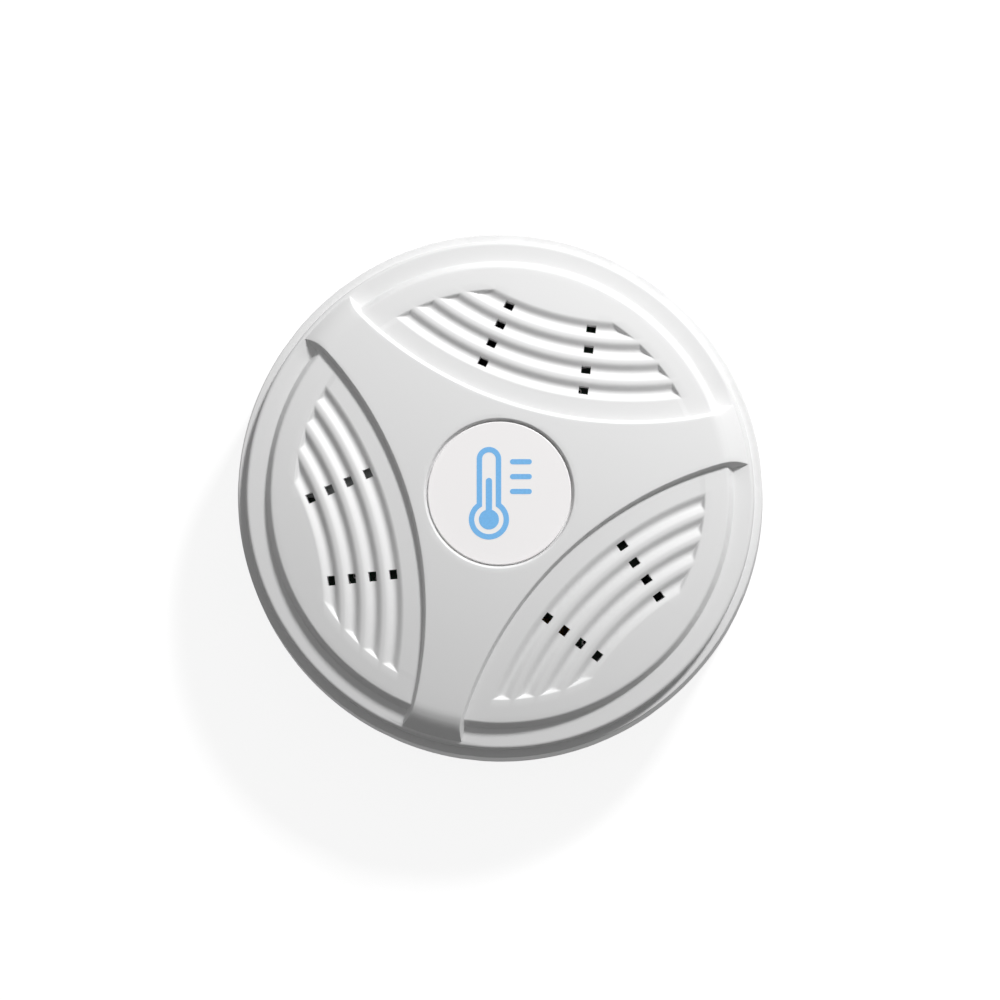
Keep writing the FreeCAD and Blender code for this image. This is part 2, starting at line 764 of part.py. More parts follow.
# The coin cell: a can with a smaller cap below.
coin_cell = turn_body(
    "coin_cell",
    [
        ("0", "0"),
        ("cell_cap_radius", "0"),
        ("cell_cap_radius", "cell_cap_high"),
        ("cell_radius", "cell_cap_high"),
        ("cell_radius", "cell_high"),
        ("0", "cell_high"),
    ],
    CELL_BOTTOM,
)
bevel_body(coin_cell, "cell_edge", "cell_radius", "cell_high", "cell_bevel")


def bent_strip(name, path, turn):
    """A sheet metal strip. path is the closed outline of the bent sheet, seen from its side."""
    body = new_body(name)
    bind(body, Placement__Base__z=BOARD_TOP, Placement__Rotation__Angle=turn)
    outline = new_sketch(body, f"{name}_outline", "XZ_Plane")
    add_outline(outline, path)
    pad(body, outline, f"{name}_strip", "contact_width").Midplane = True
    return body


CELL_LIFT = f"({CELL_TOP} - {BOARD_TOP})"
LEG = f"({TRAY_RADIUS} + contact_clear)"
CONTACT_FOOT = [
    (LEG, "0"),
    (f"{LEG} + contact_foot", "0"),
    (f"{LEG} + contact_foot", "contact_sheet"),
    (f"{LEG} + contact_sheet", "contact_sheet"),
]
positive_contact = bent_strip(
    "positive_contact",
    [
        ("contact_reach", CELL_LIFT),
        (LEG, CELL_LIFT),
        *CONTACT_FOOT,
        (f"{LEG} + contact_sheet", f"{CELL_LIFT} + contact_sheet"),
        ("contact_reach", f"{CELL_LIFT} + contact_sheet"),
        ("contact_reach - 2 * contact_lip", f"{CELL_LIFT} + contact_sheet + contact_lip"),
        ("contact_reach - 2 * contact_lip", f"{CELL_LIFT} + contact_lip"),
    ],
    "holder_angle",
)
negative_contact = bent_strip(
    "negative_contact",
    [
        ("-contact_reach", "tray_floor"),
        (LEG, "tray_floor"),
        *CONTACT_FOOT,
        (f"{LEG} + contact_sheet", "tray_floor + contact_sheet"),
        ("-contact_reach", "tray_floor + contact_sheet"),
    ],
    "holder_angle + 180",
)


def ring_piece(name, bottom, high, start, turn):
    """A piece of the aerial's thin ring, from an angle start on by turn."""
    outer = post(f"{name}_outer", "aerial_ring + aerial_thick / 2", high, z=bottom)
    bind(outer, Angle=turn)
    outer.Placement = Placement(Vector(0, 0, 0), Rotation(UP, val(start)))
    inner = post(f"{name}_inner", "aerial_ring - aerial_thick / 2", high, z=bottom)
    return combine("Cut", name, outer, inner)


aerial_parts = [ring_piece("aerial_arm", "aerial_bottom", "aerial_tall", "aerial_start", "aerial_turn")]
for name, lag in (("ground", "0"), ("feed", "aerial_feed_turn"), ("end", "aerial_turn - aerial_leg_turn")):
    leg_high = f"aerial_bottom - {BOARD_TOP}"
    leg = ring_piece(f"aerial_{name}_leg", BOARD_TOP, leg_high, f"aerial_start + {lag}", "aerial_leg_turn")
    aerial_parts.append(leg)
antenna_strip = fuse("antenna_strip", aerial_parts)


def package_block(name, blank_name):
    """A package of the table as a block on the board."""
    x, y, length, width, high, turn, _ = [f"{name}_{field}" for field in PACKAGE_FIELDS]
    return lay_block(blank_name, x, y, BOARD_TOP, length, width, high, turn)


def moulded(name):
    """A package of the table with rounded upright corners, where it has them."""
    if SIZES[f"{name}_corner"] == 0:
        return package_block(name, name)
    return dress("Fillet", name, package_block(name, f"{name}_blank"), f"{name}_corner", upright_edges)


packages = {name: moulded(name) for name in PACKAGES}
SENSOR_SIZE = ("sensor_side", "sensor_side", "sensor_high")
SENSOR_AT = around("sensor_ring", "sensor_angle")
temperature_sensor = lay_block("temperature_sensor", *SENSOR_AT, BOARD_TOP, *SENSOR_SIZE, "sensor_angle")

# The shield over the radio.
shield_at = ("radio_chip_x", "radio_chip_y")
SHIELD_INSIDE = "shield_side - 2 * shield_sheet"
shield_blank = lay_block("shield_blank", *shield_at, BOARD_TOP, "shield_side", "shield_side", "shield_high")
shield_round = dress("Fillet", "shield_round", shield_blank, "shield_corner", upright_edges)
SHIELD_HOLLOW = (SHIELD_INSIDE, SHIELD_INSIDE, "shield_high - shield_sheet")
shield_hollow = lay_block("shield_hollow", *shield_at, BOARD_TOP, *SHIELD_HOLLOW)
radio_shield = combine("Cut", "radio_shield", shield_round, shield_hollow)

# The pairing switch: body, pressed frame and the plunger that travels into it.
switch_at = ("switch_x", "switch_y")
HOUSING_TOP = f"({BOARD_TOP} + switch_high - switch_sheet)"
WELL_FLOOR = f"({HOUSING_TOP} - switch_well)"
SWITCH_PLAN = ("switch_side", "switch_side")
housing = lay_block("switch_housing", *switch_at, BOARD_TOP, *SWITCH_PLAN, f"{HOUSING_TOP} - {BOARD_TOP}")
well = post("switch_well_cut", "plunger_radius + switch_well_gap", "2 * switch_well", *switch_at, WELL_FLOOR)
switch_body = combine("Cut", "switch_body", housing, well)
frame_blank = lay_block("frame_blank", *switch_at, HOUSING_TOP, *SWITCH_PLAN, "switch_sheet")
frame_round = dress("Fillet", "frame_round", frame_blank, "switch_corner", upright_edges)
frame_hole = post("frame_hole", "plunger_radius + plunger_gap", "switch_sheet", *switch_at, HOUSING_TOP)
switch_frame = combine("Cut", "switch_frame", frame_round, frame_hole)
PLUNGER_FOOT = f"({WELL_FLOOR} + plunger_travel + plunger_rest)"
PLUNGER_HIGH = f"plunger_top - {PLUNGER_FOOT}"
plunger_blank = post("plunger_blank", "plunger_radius", PLUNGER_HIGH, *switch_at, PLUNGER_FOOT)
switch_plunger = dress(
    "Chamfer",
    "switch_plunger",
    plunger_blank,
    "plunger_bevel",
    lambda shape: circles_at(shape, "plunger_radius", "plunger_top"),
)


def scatter(name, height, places):
    """Equal small chip parts, each a separate solid, as (x, y, turn)."""
    parts = []
    for number, place in enumerate(places, start=1):
        x, y, turn = [str(value) for value in place]
        parts.append(lay_block(f"{name}_{number}", x, y, BOARD_TOP, "chip_part_long", "chip_part_wide", height, turn))
    return bundle(name, parts)


capacitors = scatter(
    "capacitors",
    "capacitor_high",
    [
        (-7.6, -17.2, 0),
        (-18.5, -14.8, 45),
        (-13.4, -8.4, 60),
        (-15.4, 11.6, 0),
        (-11.6, 13.6, 60),
        (17.2, 5.6, 90),
    ],
)
resistors = scatter(
    "resistors",
    "resistor_high",
    [
        (-16.6, -18.1, 45),
        (-8.4, 13.9, 0),
        (-22.6, 11.2, 60),
        (12.6, 13.6, 44),
        (8.6, 15.4, 0),
        (13.6, -9.6, 60),
    ],
)

NODES = {
    "front_cover": front_cover,
    "centre_label": centre_label,
    "rear_base": rear_base,
    "circuit_board": circuit_board,
    "board_screws": board_screws,
    "battery_holder": battery_holder,
    "coin_cell": coin_cell,
    "positive_contact": positive_contact,
    "negative_contact": negative_contact,
    "radio_shield": radio_shield,
    "antenna_strip": antenna_strip,
    "temperature_sensor": temperature_sensor,
    "switch_body": switch_body,
    "switch_frame": switch_frame,
    "switch_plunger": switch_plunger,
    "capacitors": capacitors,
    "resistors": resistors,
    **packages,
}

doc.recompute()
faults = [thing.Name for thing in doc.Objects if {"Invalid", "Error"} & set(thing.State)]
if faults:
    raise RuntimeError(f"these did not build: {faults}")
os.makedirs("parts", exist_ok=True)
for node, thing in NODES.items():
    thing.Label = node
    if thing.Shape.isNull() or not thing.Shape.isValid():
        raise RuntimeError(f"{node} has no valid shape")
    thing.Shape.exportStep(f"parts/{node}.step")
    print(f"{node}: {len(thing.Shape.Solids)} solid(s), {thing.Shape.Volume:.2f} mm3")
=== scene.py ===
# Room temperature sensor: the finished surfaces of every piece, round the fixed frame of the model.
# Lengths are millimetres until a piece is finished, and angles are degrees until they are used.
import math

import bmesh
import bpy
from bpy.props import FloatProperty, FloatVectorProperty, PointerProperty
from mathutils import Matrix, Vector


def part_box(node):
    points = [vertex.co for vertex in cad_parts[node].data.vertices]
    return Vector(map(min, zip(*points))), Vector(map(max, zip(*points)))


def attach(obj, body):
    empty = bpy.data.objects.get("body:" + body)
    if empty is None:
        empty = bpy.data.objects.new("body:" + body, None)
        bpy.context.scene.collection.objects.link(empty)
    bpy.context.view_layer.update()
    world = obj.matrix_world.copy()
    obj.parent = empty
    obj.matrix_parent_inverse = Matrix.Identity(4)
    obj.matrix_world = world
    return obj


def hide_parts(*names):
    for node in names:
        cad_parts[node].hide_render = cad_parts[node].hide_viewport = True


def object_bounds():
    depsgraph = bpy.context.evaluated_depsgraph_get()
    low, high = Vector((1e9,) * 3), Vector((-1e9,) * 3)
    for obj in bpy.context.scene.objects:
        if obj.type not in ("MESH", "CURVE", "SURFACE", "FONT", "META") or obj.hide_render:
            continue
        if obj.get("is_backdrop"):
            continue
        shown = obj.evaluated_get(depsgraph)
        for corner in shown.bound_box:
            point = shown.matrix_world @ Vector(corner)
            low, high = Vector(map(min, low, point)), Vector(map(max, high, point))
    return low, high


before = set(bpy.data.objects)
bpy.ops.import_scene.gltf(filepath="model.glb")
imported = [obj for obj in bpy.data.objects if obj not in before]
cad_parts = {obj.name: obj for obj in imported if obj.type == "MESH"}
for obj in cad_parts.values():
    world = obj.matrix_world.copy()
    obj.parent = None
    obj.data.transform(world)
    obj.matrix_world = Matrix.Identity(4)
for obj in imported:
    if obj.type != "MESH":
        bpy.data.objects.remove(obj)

bl_info = {
    "name": "Room Temperature Sensor",
    "version": (1, 0, 0),
    "blender": (4, 5, 0),
    "location": "View3D > Sidebar > Sensor",
    "description": "Builds the surfaces of a vented room temperature sensor round its fixed frame",
    "category": "Object",
}

MM = 0.001
CAD_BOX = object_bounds()


def node_box(node):
    """The lowest and the highest corner of a piece of the frame, in millimetres."""
    low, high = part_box(node)
    return low / MM, high / MM


COVER_LOW, COVER_HIGH = node_box("front_cover")
BASE_LOW, BASE_HIGH = node_box("rear_base")
BOARD_LOW, BOARD_HIGH = node_box("circuit_board")
BOARD_TOP = BOARD_HIGH.z
PANEL_ANGLES = (74.1, 194.1, 314.1)
ARM_ANGLES = (134.1, 254.1, 14.1)


# Colours, nodes and meshes

def linear(code):
    """An sRGB hex colour as linear red, green and blue, opaque."""
    channels = [int(code[start:start + 2], 16) / 255 for start in (1, 3, 5)]
    even = [value / 12.92 if value <= 0.04045 else ((value + 0.055) / 1.055) ** 2.4 for value in channels]
    return (*even, 1.0)


def add_node(tree, kind, settings=None, inputs=None):
    """Adds a node with its settings, and sets its inputs to values or links them to sockets."""
    node = tree.nodes.new(kind)
    for name, value in (settings or {}).items():
        setattr(node, name, value)
    for name, value in (inputs or {}).items():
        if isinstance(value, bpy.types.NodeSocket):
            tree.links.new(value, node.inputs[name])
        else:
            node.inputs[name].default_value = value
    return node


def start_material(name, **inputs):
    """A material with one Principled shader, and a node that gives the object's own coordinates."""
    material = bpy.data.materials.new(name)
    material.use_nodes = True
    tree = material.node_tree
    tree.nodes.clear()
    shader = add_node(tree, "ShaderNodeBsdfPrincipled", None, inputs)
    add_node(tree, "ShaderNodeOutputMaterial", None, {"Surface": shader.outputs["BSDF"]})
    place = add_node(tree, "ShaderNodeTexCoord").outputs["Object"]
    return material, tree, shader, place


def combine(tree, operation, first, second):
    """A sum, product or other combination of two values."""
    inputs = {0: first, 1: second}
    return add_node(tree, "ShaderNodeMath", {"operation": operation}, inputs).outputs[0]


def grain(tree, place, pitch, detail=2.0):
    """Noise whose lumps are about pitch millimetres apart."""
    inputs = {"Vector": place, "Scale": 1 / (pitch * MM), "Detail": detail}
    return add_node(tree, "ShaderNodeTexNoise", None, inputs).outputs["Fac"]


def tint_between(tree, factor, dark, light, low=0.35, high=0.65):
    """A colour that runs from dark to light as a pattern goes from low to high."""
    ramp = add_node(tree, "ShaderNodeValToRGB", None, {"Fac": factor})
    ramp.color_ramp.elements[0].position = low
    ramp.color_ramp.elements[0].color = linear(dark)
    ramp.color_ramp.elements[1].position = high
    ramp.color_ramp.elements[1].color = linear(light)
    return ramp.outputs["Color"]


def spread(tree, factor, low, high):
    """A pattern scaled to run from low to high."""
    inputs = {"Value": factor, "To Min": low, "To Max": high}
    return add_node(tree, "ShaderNodeMapRange", None, inputs).outputs["Result"]


def emboss(tree, shader, height, depth, strength=1.0):
    """Bumps the surface by a pattern, depth millimetres high."""
    inputs = {"Height": height, "Distance": depth * MM, "Strength": strength}
    bump = add_node(tree, "ShaderNodeBump", None, inputs)
    tree.links.new(bump.outputs["Normal"], shader.inputs["Normal"])


def soften(corners, rounds, steps=3):
    """An open outline whose inner corners are rounded by their radii, as points."""
    corners = [Vector(corner) for corner in corners]
    line = [corners[0]]
    for before, corner, after, radius in zip(corners, corners[1:], corners[2:], rounds):
        back = (before - corner).normalized()
        onward = (after - corner).normalized()
        if radius <= 0 or abs(back.dot(onward)) > 0.9999:
            line.append(corner)
            continue
        half = back.angle(onward) / 2
        centre = corner + (back + onward).normalized() * (radius / math.sin(half))
        start = corner + back * (radius / math.tan(half)) - centre
        end = corner + onward * (radius / math.tan(half)) - centre
        for step in range(steps + 1):
            line.append(centre + start.slerp(end, step / steps) * radius)
    line.append(corners[-1])
    return line


def lay_patch(bm, columns, rows, place):
    """A grid of columns by rows of faces whose corners lie where place(column, row) says."""
    grid = bmesh.ops.create_grid(bm, x_segments=columns, y_segments=rows, size=0.5)
    for corner in grid["verts"]:
        column = round((corner.co.x + 0.5) * columns)
        row = round((corner.co.y + 0.5) * rows)
        corner.co = place(column, row)
    return grid["verts"]


def turned(bm, outline, centre=(0, 0), segments=64):
    """A shell turned round an upright axis from an outline of radii and heights."""
    points = [bm.verts.new((centre[0] + radius, centre[1], height)) for radius, height in outline]
    edges = [bm.edges.new(pair) for pair in zip(points, points[1:])]
    before = set(bm.verts) - set(points)
    bmesh.ops.spin(
        bm,
        geom=points + edges,
        cent=(*centre, 0),
        axis=(0, 0, 1),
        angle=math.tau,
        steps=segments,
        use_merge=True,
    )
    made = [corner for corner in bm.verts if corner not in before]
    bmesh.ops.remove_doubles(bm, verts=made, dist=0.001)
    return [corner for corner in bm.verts if corner not in before]


def upright(degrees):
    """A turn about the upright axis."""
    return Matrix.Rotation(math.radians(degrees), 3, "Z")


def ring_spot(ring, turn):
    """A point on a ring round the middle, by its angle in degrees."""
    return Vector((ring * math.cos(math.radians(turn)), ring * math.sin(math.radians(turn))))


def swung(point, degrees):
    """A flat point turned round the middle."""
    return Matrix.Rotation(math.radians(degrees), 2) @ Vector(point)


def join(bm, part):
    """Moves the faces of one bmesh into another."""
    holder = bpy.data.meshes.new("holder")
    part.to_mesh(holder)
    part.free()
    bm.from_mesh(holder)
    bpy.data.meshes.remove(holder)


def only(kind, parts):
    """The parts of one kind, such as corners, out of what an operator made."""
    return [part for part in parts if isinstance(part, kind)]


def finish_mesh(bm, weld=0.001):
    """Merges doubles and poles, and points all faces outwards."""
    bmesh.ops.remove_doubles(bm, verts=bm.verts, dist=weld)
    bmesh.ops.dissolve_degenerate(bm, edges=bm.edges, dist=weld / 2)
    loose = [corner for corner in bm.verts if not corner.link_faces]
    bmesh.ops.delete(bm, geom=loose, context="VERTS")
    bmesh.ops.recalc_face_normals(bm, faces=bm.faces)


def make_piece(bm, name, body, materials, replaced=(), sharp=40.0):
    """Turns a bmesh in millimetres into a piece that rides on a body, with its place in its mesh."""
    bmesh.ops.scale(bm, vec=(MM, MM, MM), verts=bm.verts)
    mesh = bpy.data.meshes.new(name)
    bm.to_mesh(mesh)
    bm.free()
    for material in materials:
        mesh.materials.append(material)
    mesh.shade_smooth()
    mesh.set_sharp_from_angle(angle=math.radians(sharp))
    piece = bpy.data.objects.new(name, mesh)
    bpy.context.scene.collection.objects.link(piece)
    even = piece.modifiers.new("even_normals", "WEIGHTED_NORMAL")
    even.keep_sharp = True
    even.weight = 60
    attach(piece, body)
    if replaced:
        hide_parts(*replaced)
    return piece


# The front cover. One third of it is laid as patches that share their edges, with the panel's middle on +X.

# The dome of the panels, and the star that stands over it
LEAN = math.radians(18.9)
DOME = 160.0
STEP = 0.75
CENTRE_Z = 17.0 - STEP - DOME
DRAFT = math.tan(math.radians(25.0))
WALL_TURN = LEAN - math.asin(10.25 / (DOME + STEP / 2))
SKIN = 158.4
THIRD = math.radians(60.0)
# The grooves and their air holes
GROOVE_REACHES = [20.76 - 2.38 * number for number in range(4)]
GROOVE_HALF = 1.08
GROOVE_END = 23.6
END_SLOPE = 0.6
HOLE_WIDE = 0.45
HOLE_LONG = 0.55
HOLE_TURN = math.radians(8.88)
# Columns from a panel's middle to its air holes, and from there to the ends of the grooves
HOLE_COLUMNS = 6
PAST_COLUMNS = 8
# Past the grooves: the ring where the panel's patches meet its rim, the ledge and the lip
SEAM_RING = 25.4
BROW_RING = 26.2
FOOT_RING = 26.75
SHOULDER_RING = 27.1
TOE_RING = 28.6
LEDGE = 13.05
LIP = Vector((28.9, 12.8))
ARM_COLUMNS = 5
# The label's recess
RECESS_RING = 8.55
RECESS_FLOOR = 16.15
FLOOR_RING = 7.5
STAR_ROWS = 8
CEILING_ROWS = 7
# The wall, and the sockets inside it
WALL_INSIDE = 28.4
SIDE_BREAK = 10.3
SHELL = 1.6
SOCKET_RING = 22.6
SOCKET_TOP = 13.4
SOCKET_FOOT = 6.9
NOTCH_TALL = 0.9
# An open ring round the whole cover has more edges than this, and an air hole fewer
RING_EDGES = 100


def dome_point(lean_turn, turn, distance):
    """A point by its angle off the leaning axis, its turn round that, and its distance from the centre."""
    along = distance * math.cos(lean_turn)
    across = distance * math.sin(lean_turn)
    x = math.sin(LEAN) * along - math.cos(LEAN) * across * math.cos(turn)
    z = CENTRE_Z + math.cos(LEAN) * along + math.sin(LEAN) * across * math.cos(turn)
    return Vector((x, across * math.sin(turn), z))


def ring_turn(lean_turn, distance, radius):
    """The turn round the leaning axis where a point comes to a ring round the case's own axis."""
    level = math.sqrt(1 - (radius / distance) ** 2)
    cosine = (level - math.cos(lean_turn) * math.cos(LEAN)) / (math.sin(lean_turn) * math.sin(LEAN))
    return math.acos(max(-1.0, min(1.0, cosine)))


def dome_height(radius, distance):
    """The height of a dome about the leaning axes' centre, at a ring round the case's axis."""
    return CENTRE_Z + math.sqrt(distance ** 2 - radius ** 2)


def polar(radius, azimuth, height):
    """A point by its ring, its azimuth and its height."""
    return Vector((radius * math.cos(azimuth), radius * math.sin(azimuth), height))


def azimuth_of(point):
    """The azimuth of a point."""
    return math.atan2(point.y, point.x)


class CoverPlan:
    """The rows and columns of one third of the cover, worked out once."""

    def __init__(self, groove_depth):
        self.groove_line(groove_depth)
        self.wall_line()
        self.rows = self.make_rows()
        self.halves = self.make_columns()
        self.columns = 2 * len(self.halves) - 2
        self.middle = len(self.halves) - 1
        self.panel_profile()

    def groove_line(self, depth):
        """Half a groove's section, from the land beside it to near its middle, as offset and depth."""
        self.section = []
        for offset in (GROOVE_HALF, 0.96, 0.84, 0.72, 0.58, HOLE_WIDE, 0.3, 0.12):
            level = math.cos(offset / (GROOVE_HALF + 0.04) * math.pi / 2)
            self.section.append(Vector((offset, depth * level ** 2.4)))

    def wall_line(self):
        """The wall between panel and star, with its foot and brow rounded, as offset and height."""
        self.wall_run = STEP * DRAFT
        corners = [(-1.0, 0.0), (0.0, 0.0), (self.wall_run, STEP), (self.wall_run + 1.0, STEP)]
        self.wall = soften(corners, (0.14, 0.18), 4)[1:-1]

    def make_rows(self):
        """Every row, as its angle off the leaning axis and its lift off the panel's dome."""
        rows = []
        for reach in GROOVE_REACHES:
            middle = LEAN - math.asin(reach / DOME)
            for side in (-1, 1):
                for offset, depth in self.section[::-side]:
                    rows.append((middle + side * offset / DOME, -depth))
        self.wall_start = len(rows)
        for offset, lift in self.wall:
            rows.append((WALL_TURN + (offset - self.wall_run / 2) / (DOME + STEP / 2), lift))
        return rows

    def make_columns(self):
        """The columns from the panel's middle outwards: kind, share or ring, and a groove's most depth."""
        halves = [("to_hole", share / HOLE_COLUMNS, None) for share in range(HOLE_COLUMNS + 1)]
        halves += [("past_hole", share / PAST_COLUMNS, None) for share in range(PAST_COLUMNS + 1)]
        for offset, depth in reversed(self.section):
            halves.append(("ring", GROOVE_END + END_SLOPE * (offset - GROOVE_HALF), depth))
        halves += [("ring", SEAM_RING - 0.9, 0.0), ("ring", SEAM_RING, 0.0)]
        return halves

    def vent_turn(self, column, row, distance, scale=1.0):
        """The turn of a column round the leaning axis at a row. Columns never cross by a short groove."""
        lean_turn = self.rows[row][0]
        number = abs(column - self.middle)
        kind, amount, _ = self.halves[number]
        edge = math.asin(HOLE_LONG / (DOME * math.sin(lean_turn)))
        start = HOLE_TURN + edge
        least = start + math.radians(0.6)
        if kind == "to_hole":
            turn = amount * (HOLE_TURN - edge)
        elif kind == "past_hole":
            last_ring = GROOVE_END + END_SLOPE * (self.section[-1].x - GROOVE_HALF) - 0.12
            turn = start + amount * (max(ring_turn(lean_turn, DOME, last_ring), least) - start)
        else:
            least += math.radians(0.3) * (number - HOLE_COLUMNS - PAST_COLUMNS)
            turn = max(ring_turn(lean_turn, distance, amount * scale), least)
        return turn if column >= self.middle else -turn

    def vent_point(self, column, row, skin=False):
        """A corner of the vented patch, on the outside or on the inner skin."""
        lean_turn, lift = self.rows[row]
        cap = self.halves[abs(column - self.middle)][2]
        if cap is not None and lift < 0:
            lift = -min(-lift, cap)
        distance = SKIN if skin else DOME + lift
        scale = SKIN / DOME if skin else 1.0
        return dome_point(lean_turn, self.vent_turn(column, row, distance, scale), distance)

    def panel_profile(self):
        """The panel's brow, wall and ledge, and the arm's shoulder and slope, with equally many points."""
        foot = Vector((FOOT_RING, LEDGE))
        toe = foot.lerp(LIP, (TOE_RING - foot.x) / (LIP.x - foot.x))
        start = Vector((SEAM_RING, dome_height(SEAM_RING, DOME)))
        brow = (BROW_RING, dome_height(BROW_RING, DOME))
        low = soften([start, brow, foot, toe], (0.5, 0.2), 5)
        self.low = self.divided(low, len(low) + 8)
        start = Vector((SEAM_RING, dome_height(SEAM_RING, DOME + STEP)))
        shoulder = (SHOULDER_RING, dome_height(SHOULDER_RING, DOME + STEP))
        high = soften([start, shoulder, toe], (4.6,), 24)
        self.high = [Vector((point.x, self.height_at(high, point.x))) for point in self.low]

    @staticmethod
    def height_at(line, radius):
        """The height of a falling line of points at a radius."""
        for inner, outer in zip(line, line[1:]):
            if radius <= outer.x:
                return inner.y + (outer.y - inner.y) * (radius - inner.x) / (outer.x - inner.x)
        return line[-1].y

    @staticmethod
    def divided(line, count):
        """The line with its last leg cut so that it has count points."""
        parts = count - len(line) + 1
        last = [line[-2].lerp(line[-1], part / parts) for part in range(1, parts + 1)]
        return line[:-1] + last

    def cone_azimuth(self, radius, height):
        """The azimuth, on the +Y side, at which the star's drafted wall crosses a ring at a height."""
        distance = math.hypot(radius, height - CENTRE_Z)
        lean_turn = WALL_TURN + (distance - DOME - STEP / 2) * DRAFT / (DOME + STEP / 2)
        return azimuth_of(dome_point(lean_turn, ring_turn(lean_turn, distance, radius), distance))

    def arm_wall(self, station, number):
        """A point of the arm's side wall, by its station past the ring and its place in the wall's line."""
        if station == 0:
            return self.vent_point(self.columns, self.wall_start + number)
        low = self.low[station]
        high = self.high[station]
        foot = polar(low.x, self.cone_azimuth(*low), low.y)
        head = polar(high.x, self.cone_azimuth(*high), high.y)
        offset, lift = self.wall[number]
        share = lift / STEP
        point = foot.lerp(head, share)
        size = min(1.0, (head.z - foot.z) / STEP, 1.2)
        shift = (offset - share * self.wall_run) * size / point.xy.length
        return Matrix.Rotation(shift, 3, "Z") @ point


def mirrored(point):
    """The same point on the other side of the panel's middle."""
    return Vector((point.x, -point.y, point.z))


def lay_arc_patch(bm, plan, skin):
    """The plain strip from the vented patch to the seam ring. Returns its outer corners."""
    distance = SKIN if skin else DOME
    ring = SEAM_RING * (distance / DOME)
    columns = plan.columns
    arc_edge = azimuth_of(plan.vent_point(columns, 0, skin))
    reach = plan.vent_turn(columns, 0, distance)

    def place(column, row):
        inner = plan.vent_point(column, 0, skin)
        outer = polar(ring, plan.vent_turn(column, 0, distance) / reach * arc_edge, 0)
        flat = inner.lerp(outer, row / 3)
        return Vector((flat.x, flat.y, dome_height(flat.xy.length, distance)))

    lay_patch(bm, columns, 3, place)
    return [place(column, 3) for column in range(columns + 1)]


def lay_cover_third(bm, plan):
    """The outside of one third of the cover, from the recess to the toe of the arms."""
    rows = len(plan.rows) - 1
    columns = plan.columns
    stations = len(plan.low) - 1
    lay_patch(bm, columns, rows, plan.vent_point)
    arc = lay_arc_patch(bm, plan, False)

    # The panel's rim, from one arm's wall over the arc to the other's, then swept down to the ledge
    start = plan.wall_start
    rim = [plan.vent_point(0, row) for row in range(start, 0, -1)]
    rim += arc
    rim += [plan.vent_point(columns, row) for row in range(1, start + 1)]
    rim_edge = azimuth_of(rim[-1])
    edges = [azimuth_of(plan.arm_wall(station, 0)) for station in range(stations + 1)]

    def rim_point(column, station):
        if station == 0:
            return rim[column]
        radius, height = plan.low[station]
        return polar(radius, azimuth_of(rim[column]) * edges[station] / rim_edge, height)

    lay_patch(bm, len(rim) - 1, stations, rim_point)

    # The arm's side walls and its top
    last = len(plan.wall) - 1
    heads = [plan.arm_wall(station, last) for station in range(stations + 1)]

    def arm_side(number, station):
        return plan.arm_wall(station, number)

    def arm_top(column, station):
        radius, height = plan.high[station]
        edge = azimuth_of(heads[station])
        return polar(radius, edge + (THIRD - edge) * column / ARM_COLUMNS, height)

    for count, place in ((last, arm_side), (ARM_COLUMNS, arm_top)):
        lay_patch(bm, count, stations, place)
        lay_patch(bm, count, stations, lambda column, station: mirrored(place(column, station)))

    # The star's top, in radial lines from its outline to the recess, then the recess
    outline = [mirrored(arm_top(column, 0)) for column in range(ARM_COLUMNS, 0, -1)]
    outline += [plan.vent_point(column, rows) for column in range(columns + 1)]
    outline += [arm_top(column, 0) for column in range(1, ARM_COLUMNS + 1)]
    edge_ring = RECESS_RING + 0.65
    recess = [
        (edge_ring, dome_height(edge_ring, DOME + STEP)),
        (RECESS_RING, dome_height(RECESS_RING, DOME + STEP)),
        (RECESS_RING - 0.25, RECESS_FLOOR),
        (FLOOR_RING, RECESS_FLOOR),
    ]
    recess = soften(recess, (0.18, 0.1))

    def star_point(column, row):
        outer = outline[column]
        if row >= STAR_ROWS:
            radius, height = recess[row - STAR_ROWS]
            return polar(radius, azimuth_of(outer), height)
        radius = outer.xy.length + (recess[0].x - outer.xy.length) * row / STAR_ROWS
        return polar(radius, azimuth_of(outer), dome_height(radius, DOME + STEP))

    lay_patch(bm, len(outline) - 1, STAR_ROWS - 1 + len(recess), star_point)


def lay_skin_third(bm, plan):
    """The inner skin of one third of the cover under the dome, with no wall and no grooves."""
    columns = plan.columns
    last = plan.wall_start
    ring = SEAM_RING * (SKIN / DOME)
    lay_patch(bm, columns, last, lambda column, row: plan.vent_point(column, row, True))
    lay_arc_patch(bm, plan, True)
    edge = azimuth_of(plan.vent_point(columns, last, True))
    arm = []
    for share in range(1, ARM_COLUMNS + 1):
        arm.append(polar(ring, edge + (THIRD - edge) * share / ARM_COLUMNS, dome_height(ring, SKIN)))
    outline = [mirrored(point) for point in arm[::-1]]
    outline += [plan.vent_point(column, last, True) for column in range(columns + 1)]
    outline += arm

    def ceiling(column, row):
        outer = outline[column]
        radius = outer.xy.length * (1 - row / CEILING_ROWS)
        return polar(radius, azimuth_of(outer), dome_height(radius, SKIN))

    lay_patch(bm, len(outline) - 1, CEILING_ROWS, ceiling)


